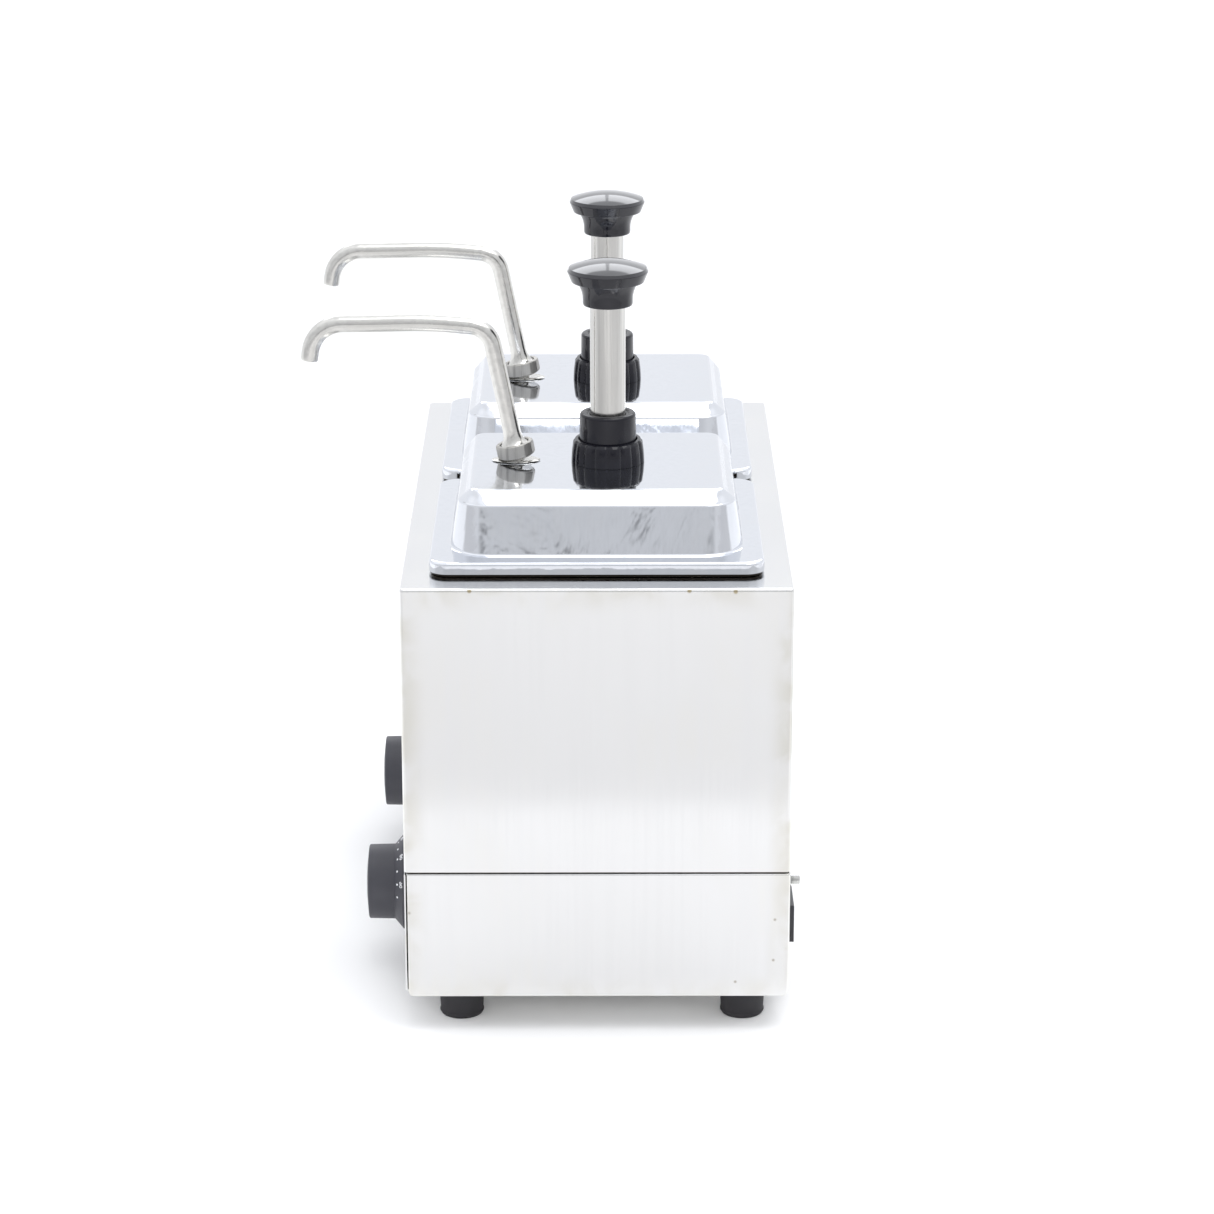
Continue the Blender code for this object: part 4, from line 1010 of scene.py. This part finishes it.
def discharge_tube(side):
    bend, start = 0.014, -CYLINDER_RADIUS - GAP
    path = [Vector((0, start, PORT_Z))]
    path += arc(Vector((0, SPOUT_Y + bend, PORT_Z + bend)), bend, -90, -180, 16, (Y_AXIS, Z_AXIS))
    path += [Vector((0, SPOUT_Y, LID_TOP_Z - 0.0085))]
    turns = [-Y_AXIS, *directions(path)[1:-1], Z_AXIS]
    outer, inner = (hoops(path, [r] * len(path), X_AXIS, 32, turns) for r in (TUBE_RADIUS, TUBE_BORE))
    on_pump("discharge_tube", side, skin(outer + inner[::-1], looped=True))


# ---------------------------------------------------------------- spouts
LEG_AXIS = Vector((0, -sin(SPOUT_TILT), cos(SPOUT_TILT)))
LEG_ROOT = Vector((0, SPOUT_Y, LID_TOP_Z))


def on_leg(distance):
    return LEG_ROOT + distance * LEG_AXIS


def about_leg(radius, distance, sides=48):
    """A ring about the leg's axis."""
    return hoop(on_leg(distance), radius, X_AXIS, LEG_AXIS.cross(X_AXIS), sides)


def spout_seat(side):
    """The union through the lid, with a low oval flange on the lid's top. The level rings run the
    other way round from the leg's rings, so the faces between them cross over."""
    def level(radius, z, stretch=1.0):
        """A level ring about the leg's root, or an oval one that is longer along Y."""
        middle_y = SPOUT_Y - 0.0013 * min(1, stretch - 1)
        return [Vector((radius * cos(a), middle_y - stretch * radius * sin(a), z)) for a in angles(48)]

    base = LID_TOP_Z + GAP
    rings = [
        level(0.0062, LID_TOP_Z - 0.0082), level(0.0062, base), level(0.007, base, 1.8),
        level(0.0072, base + 0.0003, 1.82), level(0.0069, base + 0.0007, 1.72),
        level(0.0068, base + 0.0009, 1.25),
        about_leg(0.0086, 0.0026), about_leg(0.0083, 0.0029), about_leg(0.0063, 0.0029),
        about_leg(0.0063, 0.008), about_leg(0.0034, 0.008), about_leg(0.0034, 0.001),
        level(0.0034, LID_TOP_Z - 0.0082),
    ]
    on_pump("spout_seat", side, skin(rings, looped=True))


def spout_nut(side, flats=12):
    """The twelve-sided union nut: flats that end in turned chamfers, and a round mouth."""
    bottom, top, r = 0.0031, 0.0104, 0.01025
    sides = flats * 8
    step = 2 * pi / flats

    def ring(radius, distance, cap):
        """Follows the flats, but no further out than cap."""
        points = []
        up = LEG_AXIS.cross(X_AXIS)
        for a in angles(sides):
            reach = radius * cos(step / 2) / cos((a % step) - step / 2)
            points.append(on_leg(distance) + min(reach, cap) * (cos(a) * X_AXIS + sin(a) * up))
        return points

    flat = r * cos(step / 2)
    outside = [
        (bottom + 0.0003, flat), (bottom + 0.0009, r), (top - 0.0012, r), (top - 0.0004, flat),
        (top - 0.0001, flat - 0.0004),
    ]
    mouth = [(0.0082, top), (0.0078, top - 0.0003), (0.0078, 0.0081), (0.0067, 0.0081)]
    rings = [about_leg(radius, bottom, sides) for radius in (0.0067, flat - 0.0005)]
    rings += [ring(r, distance, cap) for distance, cap in outside]
    rings += [about_leg(radius, distance, sides) for radius, distance in mouth]
    on_pump("spout_nut", side, skin(rings, looped=True), sharp=24, finish=NUT_STEEL)


def spout_path():
    """The spout's centre line in the upright plane through the pump's axis: the leaning leg, the
    shoulder bend, the slightly bowed run and the down-turned outlet."""
    shoulder, outlet, run_z, slope = 0.0135, 0.0175, 0.1168, radians(6)
    # How far the outlet stops short of upright, and the length of its straight end.
    short, tip = radians(9), 0.0051
    reach = low("spout_right").y - BODY.y - PUMP_Y
    bend_y = reach + (outlet + TUBE_RADIUS) * cos(short) + tip * sin(short)
    corner = LEG_ROOT + LEG_AXIS * ((0.1145 - LID_TOP_Z) / LEG_AXIS.z)
    back_off = shoulder * tan((pi / 2 - SPOUT_TILT - slope) / 2)
    start = corner - LEG_AXIS * back_off
    centre = start + shoulder * Vector((0, -cos(SPOUT_TILT), -sin(SPOUT_TILT)))
    path = [on_leg(s) for s in (0.0175, 0.03, 0.045, 0.055)]
    path += arc(centre, shoulder, degrees(SPOUT_TILT), 90 - degrees(slope), 14, (Y_AXIS, Z_AXIS))
    first, end = path[-1], Vector((0, bend_y, run_z))
    pull = (first.y - end.y) * 0.45
    rising = first + pull * Vector((0, -cos(slope), sin(slope)))
    handles = [first, rising, end + pull * Y_AXIS, end]
    for i in range(1, 12):
        t = i / 12
        weights = ((1 - t) ** 3, 3 * t * (1 - t) ** 2, 3 * t * t * (1 - t), t ** 3)
        path.append(sum((w * p for w, p in zip(weights, handles)), Vector()))
    outlet_centre = Vector((0, bend_y, run_z - outlet))
    path += arc(outlet_centre, outlet, 90, 180 - degrees(short), 18, (Y_AXIS, Z_AXIS))
    down = Vector((0, -sin(short), -cos(short)))
    return path + [path[-1] + distance * down for distance in (tip - 0.0015, tip - 0.0003, tip)]


def spout(side, sides=40):
    """The bent outlet tube with a belled foot, and a lightly rounded cut end."""
    path = spout_path()
    bell = [(0.0074, 0.0083), (0.0074, 0.0097), (0.007, 0.0101), (0.0065, 0.0106),
            (0.0059, 0.0114), (0.0054, 0.0126), (0.005, 0.0142), (0.0048, 0.0158)]
    foot = [about_leg(r, s, sides) for r, s in bell]
    turns = directions(path)
    turns[0] = LEG_AXIS
    turns[-3:] = [turns[-1]] * 3
    reach = [TUBE_RADIUS] * len(path)
    reach[-2], reach[-1] = TUBE_RADIUS - 0.0001, TUBE_RADIUS - 0.0003
    bore = [TUBE_BORE] * len(path)
    bore[-1] = TUBE_BORE + 0.0002
    outer = hoops(path, reach, X_AXIS, sides, turns)
    inner = hoops(path, bore, X_AXIS, sides, turns)
    shape = skin(foot + outer + inner[::-1] + [about_leg(TUBE_BORE, 0.0083, sides)], looped=True)
    on_pump("spout", side, shape)


# ---------------------------------------------------------------- stage, light and camera
def stage_floor():
    """A pale floor, darker in front of the right-hand end and some way beside the rear."""
    shape = bmesh.new()
    bmesh.ops.create_grid(shape, x_segments=8, y_segments=8, size=20)
    floor = object_from("studio_floor", shape)
    recipe = Recipe("studio_floor")
    recipe.drive("Roughness", 0.9)
    recipe.drive("Specular IOR Level", 0.0)
    x, y = recipe.axis("X"), recipe.axis("Y")
    edge = recipe.ranged(x, 0.52, 0.54, 0.0, 1.0)
    near = recipe.ranged(x, 0.205, 0.27, 0.0, 1.0)
    beside = recipe.times(recipe.ranged(y, 0.35, 0.6, 0.0, 1.0), recipe.ranged(y, 1.3, 2.0, 1.0, 0.0))
    aside = recipe.times(beside, recipe.ranged(x, -0.5, -0.1, 0.0, 1.0))
    front = recipe.mixed(edge, (0.775, 0.77, 0.77), (0.625, 0.62, 0.62))
    under = recipe.mixed(aside, (0.96, 0.96, 0.96), (0.72, 0.72, 0.72))
    recipe.drive("Base Color", recipe.mixed(near, under, front))
    floor.data.materials.append(recipe.material)


ROOM_TINT = (0.985, 1.0, 1.035, 1)


def studio_light():
    """A bright, even room, with a soft lamp above and a weak one beside the camera. It is dimmer
    towards +X, where the camera is, and brighter overhead and in two panels behind the object."""
    world = bpy.data.worlds.new("studio")
    bpy.context.scene.world = world
    world.use_nodes = True
    world.node_tree.nodes.clear()
    room = Tree(world.node_tree, "Generated")
    ranged, times = room.ranged, room.times
    x, z, across_y = room.axis("X"), room.axis("Z"), room.axis("Y", True)
    above = times(ranged(x, -0.1, 0.35, 0.0, 0.2), ranged(z, 0.8, 0.93, 1.0, 0.0))
    horizon = room.sum(ranged(z, 0.014, 0.038, 0.42, 0.0), 0.1)
    ahead = times(ranged(x, 0.75, 0.97, 0.0, 1.0), times(horizon, ranged(z, 0.3, 0.4, 1.0, 0.0)))
    dim = room.sum(1.0, room.sum(above, ahead), "SUBTRACT")
    overhead = ranged(z, 0.45, 0.75, 1.0, 1.2)
    panel_height = times(ranged(z, 0.4, 0.44, 0.0, 1.0), ranged(z, 0.66, 0.7, 1.0, 0.0))
    panel_width = times(ranged(across_y, 0.4, 0.46, 1.0, 0.0), ranged(across_y, 0.008, 0.016, 0.2, 1.0))
    panel = times(panel_height, times(panel_width, ranged(x, -0.2, -0.1, 1.0, 0.0)))
    strength = room.sum(times(dim, overhead), times(panel, 1.6))
    background = room.node("ShaderNodeBackground", {"Color": ROOM_TINT, "Strength": strength})
    room.node("ShaderNodeOutputWorld", {"Surface": background.outputs[0]})
    add_lamp("softbox", (0.25, 0.4, 1.65), width=1.1, energy=9.0)
    fill = add_lamp("fill", (2.0, 0.0, 0.85), width=0.8, energy=12.0)
    fill.visible_glossy = False


def add_lamp(name, place, width, energy):
    lamp = bpy.data.lights.new(name, "AREA")
    lamp.shape, lamp.size, lamp.energy = "SQUARE", width, energy
    holder = bpy.data.objects.new(name, lamp)
    holder.location = place
    aim = Vector((0, BODY.y, 0.15)) - holder.location
    holder.rotation_euler = aim.to_track_quat("-Z", "Y").to_euler()
    bpy.context.scene.collection.objects.link(holder)
    return holder


def camera():
    """The camera looks at the right-hand end from a little above."""
    data = bpy.data.cameras.new("camera")
    data.lens, data.sensor_width = 114.17, 36.0
    data.clip_start, data.clip_end = 0.05, 60.0
    made = bpy.data.objects.new("camera", data)
    made.location = (2.0882, BODY.y + 0.0022, DECK_Z + 0.6028)
    yaw, pitch, roll = radians(0.094), radians(17.875), radians(-0.04)
    forward = Vector((-cos(yaw) * cos(pitch), sin(yaw) * cos(pitch), -sin(pitch)))
    made.rotation_mode = "QUATERNION"
    made.rotation_quaternion = forward.to_track_quat("-Z", "Y")
    made.rotation_quaternion @= Matrix.Rotation(roll, 3, "Z").to_quaternion()
    bpy.context.scene.collection.objects.link(made)
    bpy.context.scene.camera = made


# ---------------------------------------------------------------- the whole scene
upper_housing()
base_shell()
front_panel()
bottom_plate()
foot_pieces()
power_inlet()
earth_terminal()
terminal_block()
for side in SIDES:
    for piece in (water_well, heating_element, thermostat, heat_knob, food_pan, lid, pump_knob, plunger,
                  return_spring, pump_cylinder, guide_cap, locking_nut, discharge_tube, spout_seat,
                  spout_nut, spout):
        piece(side)
for node, made in frame["nodes"].items():
    made.data.materials.clear()
    made.data.materials.append(FINISHES[SLOT_OF[node]])
stage_floor()
studio_light()
camera()
bpy.context.scene.view_settings.view_transform = "Standard"
